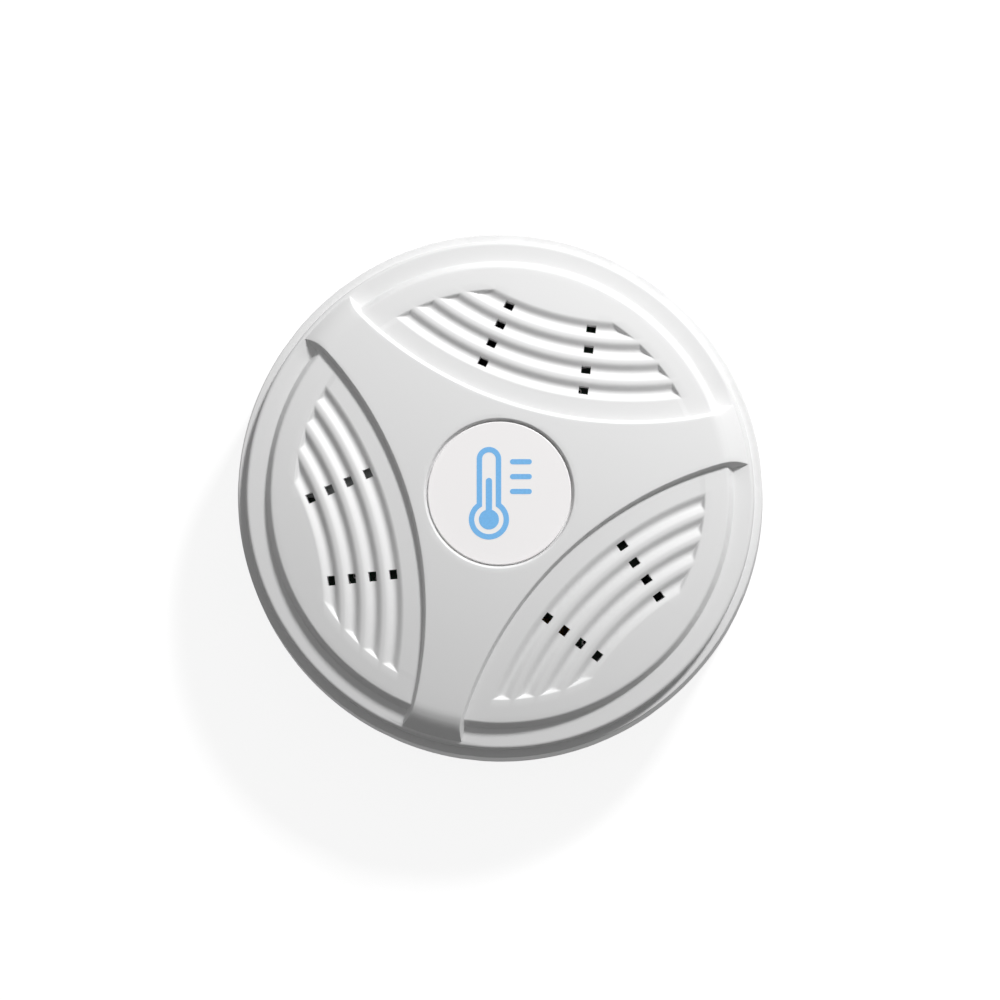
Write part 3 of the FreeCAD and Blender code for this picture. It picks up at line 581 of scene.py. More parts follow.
def open_holes(bm):
    """Takes the faces of the air holes out of a third of the outside or of the skin."""
    doomed = []
    axis = Vector((math.sin(LEAN), 0, math.cos(LEAN)))
    inward = Vector((-math.cos(LEAN), 0, math.sin(LEAN)))
    middles = [LEAN - math.asin(reach / DOME) for reach in GROOVE_REACHES]
    for face in bm.faces:
        spot = face.calc_center_median() - Vector((0, 0, CENTRE_Z))
        lean_turn = spot.angle(axis)
        off = spot - axis * spot.dot(axis)
        turn = math.atan2(off.y, off.dot(inward))
        for middle in middles:
            edge = HOLE_LONG / (DOME * math.sin(middle))
            if abs(lean_turn - middle) < HOLE_WIDE / DOME and abs(abs(turn) - HOLE_TURN) < edge:
                doomed.append(face)
    bmesh.ops.delete(bm, geom=doomed, context="FACES")


def whole_round(bm):
    """Repeats a third twice round the Z axis, turns it to its place and merges the seams."""
    third = list(bm.verts) + list(bm.edges) + list(bm.faces)
    for turn in (120.0, 240.0):
        copy = only(bmesh.types.BMVert, bmesh.ops.duplicate(bm, geom=third)["geom"])
        bmesh.ops.rotate(bm, verts=copy, cent=(0, 0, 0), matrix=upright(turn))
    bmesh.ops.rotate(bm, verts=bm.verts, cent=(0, 0, 0), matrix=upright(PANEL_ANGLES[0]))
    bmesh.ops.remove_doubles(bm, verts=bm.verts, dist=0.003)


def boundary_at(bm, radius, room=0.05):
    """The open edges that lie on a ring of some radius."""
    found = []
    for edge in bm.edges:
        if edge.is_boundary and all(abs(corner.co.xy.length - radius) < room for corner in edge.verts):
            found.append(edge)
    return found


def sweep_ring(bm, edges, line):
    """Extends a ring of open edges through the radii and heights of a line. Returns its last edges."""
    for radius, height in line:
        grown = bmesh.ops.extrude_edge_only(bm, edges=edges)["geom"]
        edges = only(bmesh.types.BMEdge, grown)
        for corner in only(bmesh.types.BMVert, grown):
            corner.co = polar(radius, azimuth_of(corner.co), height)
    return edges


def edge_groups(edges):
    """Splits edges into groups that hang together."""
    left = set(edges)
    groups = []
    while left:
        group = {left.pop()}
        fresh = set(group)
        while fresh:
            near = {other for edge in fresh for corner in edge.verts for other in corner.link_edges}
            near &= left
            left -= near
            group |= near
            fresh = near
        groups.append(list(group))
    return groups


def middle_of(edges):
    """The mean place of the ends of some edges."""
    ends = [corner.co for edge in edges for corner in edge.verts]
    return sum(ends, Vector()) / len(ends)


def bridge_nearest(bm, groups):
    """Joins each group of open edges with the group nearest to it, by faces between them."""
    left = [(middle_of(group), group) for group in groups]
    while left:
        middle, group = left.pop(0)
        other = min(range(len(left)), key=lambda index: (left[index][0] - middle).length)
        bmesh.ops.bridge_loops(bm, edges=group + left.pop(other)[1])


def socket_shells(bm):
    """The three sockets that push over the base's pegs, each with a gusset to the side wall."""
    bore, outside, bore_top = 1.55, 2.6, 11.9
    corners = [(bore, bore_top), (bore, SOCKET_FOOT), (outside, SOCKET_FOOT), (outside, SOCKET_TOP)]
    outline = [Vector((0.0, bore_top))] + soften(corners, (0.25, 0.25)) + [Vector((0.0, SOCKET_TOP))]
    low = Vector((SOCKET_RING + 2.2, -0.5, 7.8))
    size = Vector((28.1 - low.x, 1.0, 4.0))
    for angle in ARM_ANGLES:
        turned(bm, outline, ring_spot(SOCKET_RING, angle), 40)
        gusset = bmesh.ops.create_cube(bm, size=1.0)["verts"]
        bmesh.ops.scale(bm, vec=size, verts=gusset)
        bmesh.ops.translate(bm, vec=low + size / 2, verts=gusset)
        bmesh.ops.rotate(bm, verts=gusset, cent=(0, 0, 0), matrix=upright(angle))


def lift_notch(bm):
    """The notch in the wall's lower edge where a fingernail lifts the cover."""
    along = ring_spot(1.0, PANEL_ANGLES[2])
    across = Vector((-along.y, along.x))
    top = COVER_LOW.z + NOTCH_TALL
    for corner in bm.verts:
        flat = corner.co.xy
        if flat.dot(along) > 26.0 and corner.co.z < top and abs(flat.dot(across)) < 4.5:
            corner.co.z = top


def front_cover_mesh(groove_depth):
    """The whole moulding as one closed shell, with its sockets beside it."""
    plan = CoverPlan(groove_depth)
    outside = bmesh.new()
    lay_cover_third(outside, plan)
    open_holes(outside)
    whole_round(outside)
    bmesh.ops.holes_fill(outside, edges=boundary_at(outside, FLOOR_RING))
    # The ledge ends in a short wall over a narrow lip, and under the lip the side stands upright
    side = COVER_HIGH.x
    lip = [plan.low[-1], (29.08, 12.78), (29.08, 11.5), (side, 11.45), (side, COVER_LOW.z)]
    lip += [(WALL_INSIDE, COVER_LOW.z), (WALL_INSIDE, SIDE_BREAK - 0.53)]
    lip = soften(lip, (0.42, 0.12, 0.18, 0.25, 0.2), 4)
    ceiling = LEDGE - SHELL
    inner = [lip[-1], (27.3, ceiling), (25.1, ceiling), (25.1, 12.4)]
    inner = soften(inner, (0.4, 0.2))
    sweep_ring(outside, boundary_at(outside, TOE_RING), lip[1:-1] + inner[1:])

    skin = bmesh.new()
    lay_skin_third(skin, plan)
    open_holes(skin)
    whole_round(skin)
    join(outside, skin)
    groups = edge_groups([edge for edge in outside.edges if edge.is_boundary])
    rings = [edge for group in groups if len(group) > RING_EDGES for edge in group]
    bmesh.ops.bridge_loops(outside, edges=rings)
    bridge_nearest(outside, [group for group in groups if len(group) <= RING_EDGES])
    finish_mesh(outside)
    lift_notch(outside)
    socket_shells(outside)
    bmesh.ops.recalc_face_normals(outside, faces=outside.faces)
    return outside


def cover_plastic(colour):
    """Moulded ABS, spark eroded to a fine matt grain: pale grey, with a soft and even sheen."""
    material, tree, shader, place = start_material("abs_spark_grain", IOR=1.54, Roughness=0.55)
    shader.inputs["Base Color"].default_value = (*colour, 1.0)
    # A real spark grain is about 0.05 mm, so it is drawn as 0.12 mm to show
    fine = grain(tree, place, 0.12)
    emboss(tree, shader, fine, 0.004, 0.5)
    return material


class SensorCoverSettings(bpy.types.PropertyGroup):
    """Sizes and colour of the front cover."""

    groove_depth: FloatProperty(
        name="Groove depth",
        description="How deep the vent grooves are, in millimetres",
        default=0.5,
        min=0.3,
        max=0.8,
    )
    colour: FloatVectorProperty(
        name="Plastic",
        description="Colour of the moulding",
        subtype="COLOR",
        size=3,
        default=linear("#DBDBDB")[:3],
        min=0.0,
        max=1.0,
    )


class SENSOR_OT_front_cover(bpy.types.Operator):
    """Builds the domed front cover with its star, vented panels and ledge"""

    bl_idname = "sensor.front_cover"
    bl_label = "Front Cover"

    def execute(self, context):
        settings = context.scene.sensor_cover
        bm = front_cover_mesh(settings.groove_depth)
        material = cover_plastic(settings.colour)
        make_piece(bm, "front_cover_moulding", "cover", [material], ["front_cover"])
        return {"FINISHED"}


# The label

class SensorLabelSettings(bpy.types.PropertyGroup):
    """Colours of the printed label."""

    film: FloatVectorProperty(
        name="Film",
        description="Colour of the label's film",
        subtype="COLOR",
        size=3,
        default=linear("#F3F1F1")[:3],
        min=0.0,
        max=1.0,
    )
    ink: FloatVectorProperty(
        name="Ink",
        description="Colour of the print",
        subtype="COLOR",
        size=3,
        default=linear("#74B4E8")[:3],
        min=0.0,
        max=1.0,
    )


def label_film(colour):
    """White polyester film with a satin lacquer: even and bright, smoother than the moulding round it."""
    material, tree, shader, place = start_material("polyester_label_film", IOR=1.57, Roughness=0.34)
    shader.inputs["Base Color"].default_value = (*colour, 1.0)
    # The lacquer's orange peel has waves of about 0.8 mm
    emboss(tree, shader, grain(tree, place, 0.8), 0.002, 0.4)
    return material


def label_ink(colour):
    """Screen printed ink: flat colour with a slightly uneven coat."""
    material, tree, shader, place = start_material("screen_print_ink", IOR=1.5, Roughness=0.45)
    pale = [channel * 1.06 for channel in colour]
    ramp = add_node(tree, "ShaderNodeValToRGB", None, {"Fac": grain(tree, place, 0.25)})
    ramp.color_ramp.elements[0].position = 0.4
    ramp.color_ramp.elements[0].color = (*colour, 1.0)
    ramp.color_ramp.elements[1].position = 0.6
    ramp.color_ramp.elements[1].color = (*pale, 1.0)
    tree.links.new(ramp.outputs["Color"], shader.inputs["Base Color"])
    return material


def label_mesh(low, high):
    """The round film with a rounded edge."""
    bm = bmesh.new()
    radius = high.x
    outline = soften([(0, high.z), (radius, high.z), (radius, low.z), (0, low.z)], (0.12, 0.04), 4)
    turned(bm, outline, segments=128)
    finish_mesh(bm)
    return bm


def flat_shape(bm, points, height):
    """A flat face through points, at a height."""
    corners = [bm.verts.new((x, y, height)) for x, y in points]
    bm.faces.new(corners)


def arc_points(centre, radius, start, end, steps):
    """Points along an arc, its ends included, in degrees from +X."""
    turns = [math.radians(start + (end - start) * step / steps) for step in range(steps + 1)]
    return [(centre[0] + radius * math.cos(turn), centre[1] + radius * math.sin(turn)) for turn in turns]


def print_mesh(height):
    """A plain thermometer with three marks, the width of the real print's lines."""
    bm = bmesh.new()
    line = 0.62
    bulb = (-1.2, -3.0)
    top = (bulb[0], 3.9)
    lines = []
    for round_radius, tube in ((2.3, 1.4), (2.3 - line, 1.4 - line)):
        gap = math.degrees(math.asin(tube / round_radius))
        outline = arc_points(bulb, round_radius, 90 + gap, 450 - gap, 60)
        lines.append(outline + arc_points(top, tube, 0, 180, 30))
    outer, inner = [[bm.verts.new((x, y, height)) for x, y in points] for points in lines]
    for number in range(len(outer)):
        after = (number + 1) % len(outer)
        bm.faces.new((outer[number], outer[after], inner[after], inner[number]))
    stem = 0.36
    gap = math.degrees(math.asin(stem / 1.15))
    filled = arc_points(bulb, 1.15, 90 + gap, 450 - gap, 48)
    flat_shape(bm, filled + arc_points((bulb[0], 1.4), stem, 0, 180, 16), height)
    for number in range(3):
        y = 0.2 + 1.7 * number
        bar = arc_points((3.4, y), 0.3, -90, 90, 16) + arc_points((1.5, y), 0.3, 90, 270, 16)
        flat_shape(bm, bar, height)
    return bm


class SENSOR_OT_centre_label(bpy.types.Operator):
    """Builds the printed round label in the star's recess"""

    bl_idname = "sensor.centre_label"
    bl_label = "Centre Label"

    def execute(self, context):
        settings = context.scene.sensor_label
        low, high = node_box("centre_label")
        film = label_film(settings.film)
        bm = label_mesh(low, high)
        make_piece(bm, "centre_label_film", "cover", [film], ["centre_label"])
        ink = label_ink(settings.ink)
        make_piece(print_mesh(high.z + 0.012), "centre_label_print", "cover", [ink])
        return {"FINISHED"}


# Shapes shared by the pieces inside

def node_copy(node):
    """A bmesh of a piece of the frame in millimetres, with its flat faces made whole."""
    bm = bmesh.new()
    bm.from_mesh(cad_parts[node].data)
    bmesh.ops.scale(bm, vec=(1 / MM, 1 / MM, 1 / MM), verts=bm.verts)
    bmesh.ops.remove_doubles(bm, verts=bm.verts, dist=0.001)
    bmesh.ops.dissolve_limit(bm, angle_limit=math.radians(0.5), verts=bm.verts, edges=bm.edges)
    return bm


def round_edges(bm, width, sharp=35.0, segments=2):
    """Rounds every edge where two faces meet at more than an angle."""
    least = math.radians(sharp)
    bmesh.ops.bevel(
        bm,
        geom=[edge for edge in bm.edges if edge.is_manifold and edge.calc_face_angle() > least],
        offset=width,
        offset_type="OFFSET",
        affect="EDGES",
        segments=segments,
        profile=0.5,
        clamp_overlap=True,
        material=-1,
    )


def rounded_node(node, name, body, material, width, segments=2):
    """A piece with the frame's shape and rounded edges, in one finish."""
    bm = node_copy(node)
    round_edges(bm, width, segments=segments)
    return make_piece(bm, name, body, [material], [node])


def paint(corners, index):
    """Gives the faces of some corners one of the mesh's finishes."""
    for face in {face for corner in corners for face in corner.link_faces}:
        face.material_index = index


def lay_block(bm, spot, foot, size, turn=0.0, edge=0.0, index=0):
    """A block in one of the finishes, its foot's middle over a spot, turned in degrees."""
    block = bmesh.new()
    bmesh.ops.create_cube(block, size=1.0)
    bmesh.ops.scale(block, vec=size, verts=block.verts)
    if edge:
        round_edges(block, edge)
    paint(block.verts, index)
    bmesh.ops.rotate(block, verts=block.verts, cent=(0, 0, 0), matrix=upright(turn))
    bmesh.ops.translate(block, vec=(spot[0], spot[1], foot + size[2] / 2), verts=block.verts)
    join(bm, block)


def lay_ring(bm, spot, inner, outer, height, index, segments=32):
    """A flat ring."""
    part = bmesh.new()
    made = bmesh.ops.create_circle(part, segments=segments, radius=inner)["verts"]
    grown = bmesh.ops.extrude_edge_only(part, edges=part.edges[:])["geom"]
    outside = only(bmesh.types.BMVert, grown)
    bmesh.ops.scale(part, vec=(outer / inner, outer / inner, 1), verts=outside)
    bmesh.ops.translate(part, vec=(spot[0], spot[1], height), verts=part.verts)
    bmesh.ops.recalc_face_normals(part, faces=part.faces)
    face_up(part)
    paint(made, index)
    join(bm, part)


def lay_disc(bm, spot, radius, height, index, segments=24):
    """A flat disc."""
    part = bmesh.new()
    bmesh.ops.create_circle(part, cap_ends=True, segments=segments, radius=radius)
    bmesh.ops.translate(part, vec=(spot[0], spot[1], height), verts=part.verts)
    face_up(part)
    paint(part.verts, index)
    join(bm, part)


def face_up(bm):
    """Turns flat faces so that they look up."""
    bm.normal_update()
    down = [face for face in bm.faces if face.normal.z < 0]
    bmesh.ops.reverse_faces(bm, faces=down)


def lay_line(bm, points, width, height, index):
    """A flat line of even width through points, mitred where it bends."""
    part = bmesh.new()
    points = [Vector(point) for point in points]
    sides = []
    for number, point in enumerate(points):
        before = (point - points[number - 1]).normalized() if number else None
        after = (points[number + 1] - point).normalized() if number + 1 < len(points) else None
        along = ((before or after) + (after or before)).normalized()
        stretch = 1 / max(0.5, along.dot(before or after))
        sides.append(Vector((-along.y, along.x)) * (width / 2 * stretch))
    left = [part.verts.new((*(point + side), height)) for point, side in zip(points, sides)]
    edges = [part.edges.new(pair) for pair in zip(left, left[1:])]
    grown = bmesh.ops.extrude_edge_only(part, edges=edges)["geom"]
    for corner in only(bmesh.types.BMVert, grown):
        nearest = min(range(len(points)), key=lambda number: (left[number].co - corner.co).length)
        flat = points[nearest] - sides[nearest]
        corner.co = (flat.x, flat.y, height)
    face_up(part)
    paint(part.verts, index)
    join(bm, part)


# Materials of the pieces inside

def moulding(name, dark, light, roughness, pitch, depth):
    """A moulded plastic with slight clouds of colour and the grain of its tool."""
    material, tree, shader, place = start_material(name, IOR=1.54, Roughness=roughness)
    tint = tint_between(tree, grain(tree, place, 5.0, 3.0), dark, light)
    tree.links.new(tint, shader.inputs["Base Color"])
    emboss(tree, shader, grain(tree, place, pitch), depth, 0.5)
    return material


def base_plastic(colour):
    """The same ABS as the cover, from a tool with the same spark grain."""
    material = cover_plastic(colour)
    material.name = "abs_base"
    return material


def metal(name, dark, light, smooth, rough, lines, pitch=0.25):
    """A metal whose fine marks run one way, stretched by the three factors of lines."""
    material, tree, shader, place = start_material(name, Metallic=1.0)
    drawn = add_node(tree, "ShaderNodeMapping", None, {"Vector": place, "Scale": lines}).outputs["Vector"]
    marks = grain(tree, drawn, pitch, 4.0)
    tree.links.new(tint_between(tree, marks, dark, light), shader.inputs["Base Color"])
    tree.links.new(spread(tree, marks, smooth, rough), shader.inputs["Roughness"])
    emboss(tree, shader, marks, 0.0006, 0.3)
    return material


def solder_mask(name, dark, light):
    """Green lacquer over woven glass: glossy, with the 0.5 mm weave faintly showing through."""
    material, tree, shader, place = start_material(name, IOR=1.52, Roughness=0.3)
    clouds = grain(tree, place, 7.0, 3.0)
    tree.links.new(tint_between(tree, clouds, dark, light), shader.inputs["Base Color"])
    weave = []
    for direction in ("X", "Y"):
        settings = {"wave_type": "BANDS", "bands_direction": direction}
        # One wave spans 2 pi over 20 times the scale, so this is a thread each 0.5 mm
        inputs = {"Vector": place, "Scale": math.tau / (20 * 0.5 * MM), "Distortion": 0.4}
        weave.append(add_node(tree, "ShaderNodeTexWave", settings, inputs).outputs["Fac"])
    emboss(tree, shader, combine(tree, "ADD", *weave), 0.004, 0.35)
    return material


def laminate_edge():
    """The milled edge of glass and epoxy laminate, with layers about 0.2 mm thick."""
    material, tree, shader, place = start_material("glass_epoxy_edge", IOR=1.55, Roughness=0.7)
    layers = add_node(
        tree,
        "ShaderNodeTexWave",
        {"wave_type": "BANDS", "bands_direction": "Z"},
        {"Vector": place, "Scale": math.tau / (20 * 0.2 * MM), "Distortion": 1.5},
    )
    tint = tint_between(tree, layers.outputs["Fac"], "#A99A5C", "#CBBE85")
    tree.links.new(tint, shader.inputs["Base Color"])
    emboss(tree, shader, grain(tree, place, 0.1), 0.01, 0.6)
    return material


def tin(name="tinned_copper"):
    """Hot tin on copper pads: bright, with slow waves in the set solder."""
    material, tree, shader, place = start_material(name, Metallic=1.0)
    shader.inputs["Base Color"].default_value = linear("#D6D7D3")
    waves = grain(tree, place, 0.6)
    tree.links.new(spread(tree, waves, 0.18, 0.38), shader.inputs["Roughness"])
    emboss(tree, shader, waves, 0.02, 0.4)
    return material


def white_ink():
    """Screen printed legend ink: matt white with a slightly broken coat."""
    material, tree, shader, place = start_material("legend_ink", IOR=1.5, Roughness=0.7)
    tint = tint_between(tree, grain(tree, place, 0.12), "#D8DAD4", "#EFF0EC", 0.3, 0.5)
    tree.links.new(tint, shader.inputs["Base Color"])
    return material


def hole_shade():
    """Painted shade: a near black finish that stands for the shaded inside of an open plated hole."""
    material, tree, shader, place = start_material("painted_hole_shade", Roughness=0.8)
    tint = tint_between(tree, grain(tree, place, 0.3), "#0B0C0B", "#161815")
    tree.links.new(tint, shader.inputs["Base Color"])
    return material


def clear_resin():
    """The lamp's clear epoxy, faintly yellow from the phosphor under it."""
    inputs = {"IOR": 1.5, "Roughness": 0.12, "Transmission Weight": 0.35}
    material, tree, shader, place = start_material("clear_epoxy", **inputs)
    tint = tint_between(tree, grain(tree, place, 0.8), "#E4DFA6", "#F0ECC4")
    tree.links.new(tint, shader.inputs["Base Color"])
    return material


def ceramic(name, dark, light, pitch=0.15):
    """Fired ceramic with fine specks."""
    material, tree, shader, place = start_material(name, IOR=1.6, Roughness=0.42)
    tint = tint_between(tree, grain(tree, place, pitch, 4.0), dark, light)
    tree.links.new(tint, shader.inputs["Base Color"])
    emboss(tree, shader, grain(tree, place, pitch), 0.003, 0.5)
    return material


# The rear base

class SensorInsideSettings(bpy.types.PropertyGroup):
    """Sizes and colours of the base and of what it carries."""

    base: FloatVectorProperty(
        name="Base",
        description="Colour of the rear base",
        subtype="COLOR",
        size=3,
        default=linear("#D4D4D4")[:3],
        min=0.0,
        max=1.0,
    )
    trace: FloatProperty(
        name="Trace width",
        description="Width of the thin copper lines on the board, in millimetres",
        default=0.2,
        min=0.1,
        max=0.4,
    )


class SENSOR_OT_rear_base(bpy.types.Operator):
    """Rounds the edges of the rear base"""

    bl_idname = "sensor.rear_base"
    bl_label = "Rear Base"

    def execute(self, context):
        plastic = base_plastic(context.scene.sensor_inside.base)
        rounded_node("rear_base", "rear_base_moulding", "base", plastic, 0.14)
        return {"FINISHED"}


# The circuit board with its copper, pads and legend

CHIP_PARTS = {
    "capacitors": [
        (-7.6, -17.2, 0), (-18.5, -14.8, 45), (-13.4, -8.4, 60),
        (-15.4, 11.6, 0), (-11.6, 13.6, 60), (17.2, 5.6, 90),
    ],
    "resistors": [
        (-16.6, -18.1, 45), (-8.4, 13.9, 0), (-22.6, 11.2, 60),
        (12.6, 13.6, 44), (8.6, 15.4, 0), (13.6, -9.6, 60),
    ],
}
CHIP_HEIGHTS = {"capacitors": 0.8, "resistors": 0.45}
CHIP_AT = (-12.5, -14.5)
SCREW_RING = 21.8
SENSOR_TURN = -29.0
SENSOR_AT = ring_spot(21.8, SENSOR_TURN)
SWITCH_AT = (18.5, -1.5)
LIGHT_AT = (10.5, -13.0)
STORE_AT = (6.3, -15.2)
CHOKE_AT = (15.2, 9.4)
CRYSTAL_AT = (-18.5, -11.0)
AERIAL_FEED = (-12.04, 20.65)
# Copper and ink lie in steps over the lacquer, and pads stand a little higher
ON_BOARD = 0.02
PAD_HIGH = 0.05


def arc_trace(ring, start, end, leads):
    """A copper line that leaves a ring at both ends towards other rings."""
    steps = max(2, round(abs(end - start) / 4))
    points = [ring_spot(leads[0], start)]
    points += [ring_spot(ring, start + (end - start) * step / steps) for step in range(steps + 1)]
    return points + [ring_spot(leads[1], end)]


def board_traces():
    """The thin copper lines, each with how many of its ends have a plated hole."""
    lines = []
    ends = (347.0, 321.9, 311.6, 306.0, 286.8)
    reaches = (15.4, 16.6, 17.2, 15.9, 15.6)
    for number, (end, reach) in enumerate(zip(ends, reaches)):
        start = 240.0 + 3.5 * number
        lines.append((arc_trace(12.2 + 0.33 * number, start, end, (15.0 + 0.6 * number, reach)), 1))
    for number in range(4):
        ring = 17.4 + 0.5 * number
        leads = (ring + 0.4, ring + 0.1)
        lines.append((arc_trace(ring, 214.0 - 3.0 * number, 182.0 + 2.4 * number, leads), 2))
    for number in range(3):
        ring = 12.4 + 0.5 * number
        leads = (14.2, 15.2)
        lines.append((arc_trace(ring, 150.0 - 3.0 * number, 54.0 + 4.0 * number, leads), 2))
    lines.append(([(17.2, 4.6), (16.6, 3.2), (15.2, 1.6), (15.2, 0.9)], 0))
    lines.append(([(-7.6, 13.9), (-6.7, 15.2), (-6.5, 18.0), ring_spot(21.4, 106)], 0))
    return lines


def wide_traces():
    """The heavier lines: the cell's, the storage capacitor's, and the aerial's by its matching parts."""
    return [
        [(13.0, 6.9), (14.2, 8.4)],
        [(16.2, 10.4), (17.7, 9.2), (17.2, 6.4)],
        [(-11.6, -6.7), (-13.0, -7.7)],
        [(8.0, -15.2), (9.4, -16.5), (11.0, -16.5)],
        [(-16.25, 9.2), (-16.25, 11.6)],
        [(-14.5, 11.6), (-13.3, 12.0), (-12.0, 12.9)],
        [(-11.2, 14.3), (-11.2, 17.4), AERIAL_FEED],
    ]


def pad_pairs():
    """The pads under every small part, as middle, turn, distance from its middle, length and width."""
    pads = []
    for places in CHIP_PARTS.values():
        for x, y, turn in places:
            pads.append(((x, y), turn, 0.85, 0.75, 1.0))
    pads.append((LIGHT_AT, 0, 1.05, 0.7, 1.2))
    pads.append((STORE_AT, 0, 1.7, 1.0, 2.0))
    pads.append((CHOKE_AT, 44, 1.4, 0.9, 2.4))
    pads.append((CRYSTAL_AT, 30, 1.35, 1.0, 2.1))
    return pads


def dress_board(bm, trace):
    """Adds the copper under the lacquer, pads, holes and legend to the board's mesh."""
    top = BOARD_TOP
    holes = [(9.6, -16.5), (10.7, -16.5)]
    for line, count in board_traces():
        lay_line(bm, line, trace, top + ON_BOARD, 2)
        holes += (line[0], line[-1])[:count]
    for line in wide_traces():
        lay_line(bm, line, 0.6, top + ON_BOARD, 2)
    for spot in holes:
        lay_ring(bm, spot, 0.16, 0.34, top + 2 * ON_BOARD, 3)
        # Inside each ring, a near black disc of painted shade stands for the open hole
        lay_disc(bm, spot, 0.17, top + 2 * ON_BOARD, 5)
    for middle, turn, reach, length, width in pad_pairs():
        for side in (-1, 1):
            spot = Vector(middle) + ring_spot(side * reach, turn)
            lay_block(bm, spot, top, (length, width, PAD_HIGH), turn, 0.02, 3)
    for side in range(4):
        for place in range(8):
            turn = 45 + 90 * side
            spot = swung((3.05, -2.1 + 0.6 * place), turn) + Vector(CHIP_AT)
            lay_block(bm, spot, top, (0.8, 0.3, PAD_HIGH), turn, 0.02, 3)
    for side in (-1, 1):
        for place in (-1, 0, 1):
            spot = SENSOR_AT + swung((side * 1.55, place * 0.95), SENSOR_TURN)
            lay_block(bm, spot, top, (0.6, 0.45, PAD_HIGH), SENSOR_TURN, 0.02, 3)
        for place in (-1, 1):
            spot = (SWITCH_AT[0] + side * 3.3, SWITCH_AT[1] + place * 2.0)
            lay_block(bm, spot, top, (1.2, 1.0, PAD_HIGH), 0, 0.02, 3)
    for turn in (106.0, 111.0, 116.0, 242.0, 246.5):
        lay_disc(bm, ring_spot(21.4, turn), 0.6, top + 2 * ON_BOARD, 3, 32)
    lay_ring(bm, (0, 0), 11.75, 11.9, top + 2 * ON_BOARD, 4, 128)
    for turn in PANEL_ANGLES:
        lay_ring(bm, ring_spot(SCREW_RING, turn), 1.5, 2.5, top + ON_BOARD, 3, 48)
    legends = [(CHIP_AT, 45, 3.6, 3.6), (SWITCH_AT, 0, 4.2, 3.5)]
    legends += [(STORE_AT, 0, 2.7, 1.8), (CHOKE_AT, 44, 2.3, 2.0)]
    for middle, turn, along, across in legends:
        for end in (-1, 1):
            near, far = end * (along - 0.9), end * along
            corners = [(near, -across), (far, -across), (far, across), (near, across)]
            corners = [swung(corner, turn) + Vector(middle) for corner in corners]
            lay_line(bm, corners, 0.13, top + 3 * ON_BOARD, 4)
    lay_disc(bm, Vector(CHIP_AT) + ring_spot(5.6, 135), 0.28, top + 3 * ON_BOARD, 4)


class SENSOR_OT_circuit_board(bpy.types.Operator):
    """Builds the circuit board with its copper, pads and legend"""

    bl_idname = "sensor.circuit_board"
    bl_label = "Circuit Board"

    def execute(self, context):
        bm = node_copy("circuit_board")
        bm.normal_update()
        for face in bm.faces:
            face.material_index = 1 if abs(face.normal.z) < 0.5 else 0
        dress_board(bm, context.scene.sensor_inside.trace)
        finishes = [
            solder_mask("green_solder_mask", "#0F5A36", "#15663F"),
            laminate_edge(),
            solder_mask("solder_mask_on_copper", "#2E8A58", "#369463"),
            tin(),
            white_ink(),
            hole_shade(),
        ]
        make_piece(bm, "circuit_board_laminate", "base", finishes, ["circuit_board"])
        return {"FINISHED"}


class SENSOR_OT_board_screws(bpy.types.Operator):
    """Builds the three screws that hold the board"""

    bl_idname = "sensor.board_screws"
    bl_label = "Board Screws"

    def execute(self, context):
        # Zinc plated steel with the fine turned marks of the thread roller
        steel = metal("zinc_plated_steel", "#A9ABA8", "#C6C8C6", 0.25, 0.42, (1, 1, 3))
        rounded_node("board_screws", "board_screws_steel", "base", steel, 0.08)
        return {"FINISHED"}


# The cell, its tray and its contacts

class SENSOR_OT_coin_cell(bpy.types.Operator):
    """Builds the coin cell, its tray and its two contacts"""

    bl_idname = "sensor.coin_cell"
    bl_label = "Coin Cell"

    def execute(self, context):
        # Glass filled nylon, matt black
        nylon = moulding("glass_filled_nylon", "#1E1F20", "#262728", 0.5, 0.15, 0.006)
        rounded_node("battery_holder", "battery_tray_moulding", "base", nylon, 0.1)

        # Nickel plated stainless can, brushed one way
        can = metal("nickel_plated_can", "#C0C0BC", "#D0D0CC", 0.22, 0.34, (1, 10, 1), 0.8)
        low, high = node_box("coin_cell")
        groove = low.z + 0.35
        corners = [(0, high.z), (high.x, high.z), (high.x, groove)]
        corners += [(9.35, groove), (9.1, low.z), (0, low.z)]
        bm = bmesh.new()
        turned(bm, soften(corners, (0.5, 0.25, 0.08, 0.2), 5), segments=128)
        plus = [(-0.35, -1.8), (0.35, -1.8), (0.35, -0.35), (1.8, -0.35), (1.8, 0.35), (0.35, 0.35)]
        plus += [(-x, -y) for x, y in plus]
        sign = bmesh.new()
        flat_shape(sign, [(x - 3.2, y - 2.6) for x, y in plus], high.z + 0.015)
        face_up(sign)
        paint(sign.verts, 1)
        join(bm, sign)
        etched = metal("etched_nickel", "#7C7C79", "#8E8E8A", 0.5, 0.65, (1, 1, 1), 0.1)
        make_piece(bm, "coin_cell_can", "base", [can, etched], ["coin_cell"])

        # Nickel plated spring bronze, with the drawing marks of the strip
        strip = metal("nickel_plated_bronze", "#C6C2B3", "#D0CCBE", 0.24, 0.34, (6, 1, 1), 0.5)
        for node in ("positive_contact", "negative_contact"):
            rounded_node(node, node + "_strip", "base", strip, 0.06)
        return {"FINISHED"}


# The chips, the shield and the aerial

def add_dimple(bm, spot, radius, top, index):
    """A shallow round mark in the top of a package, drawn as a disc with a rim."""
    lay_disc(bm, spot, radius, top + 0.006, index)
    lay_ring(bm, spot, radius, radius * 1.18, top + 0.008, 0, 24)


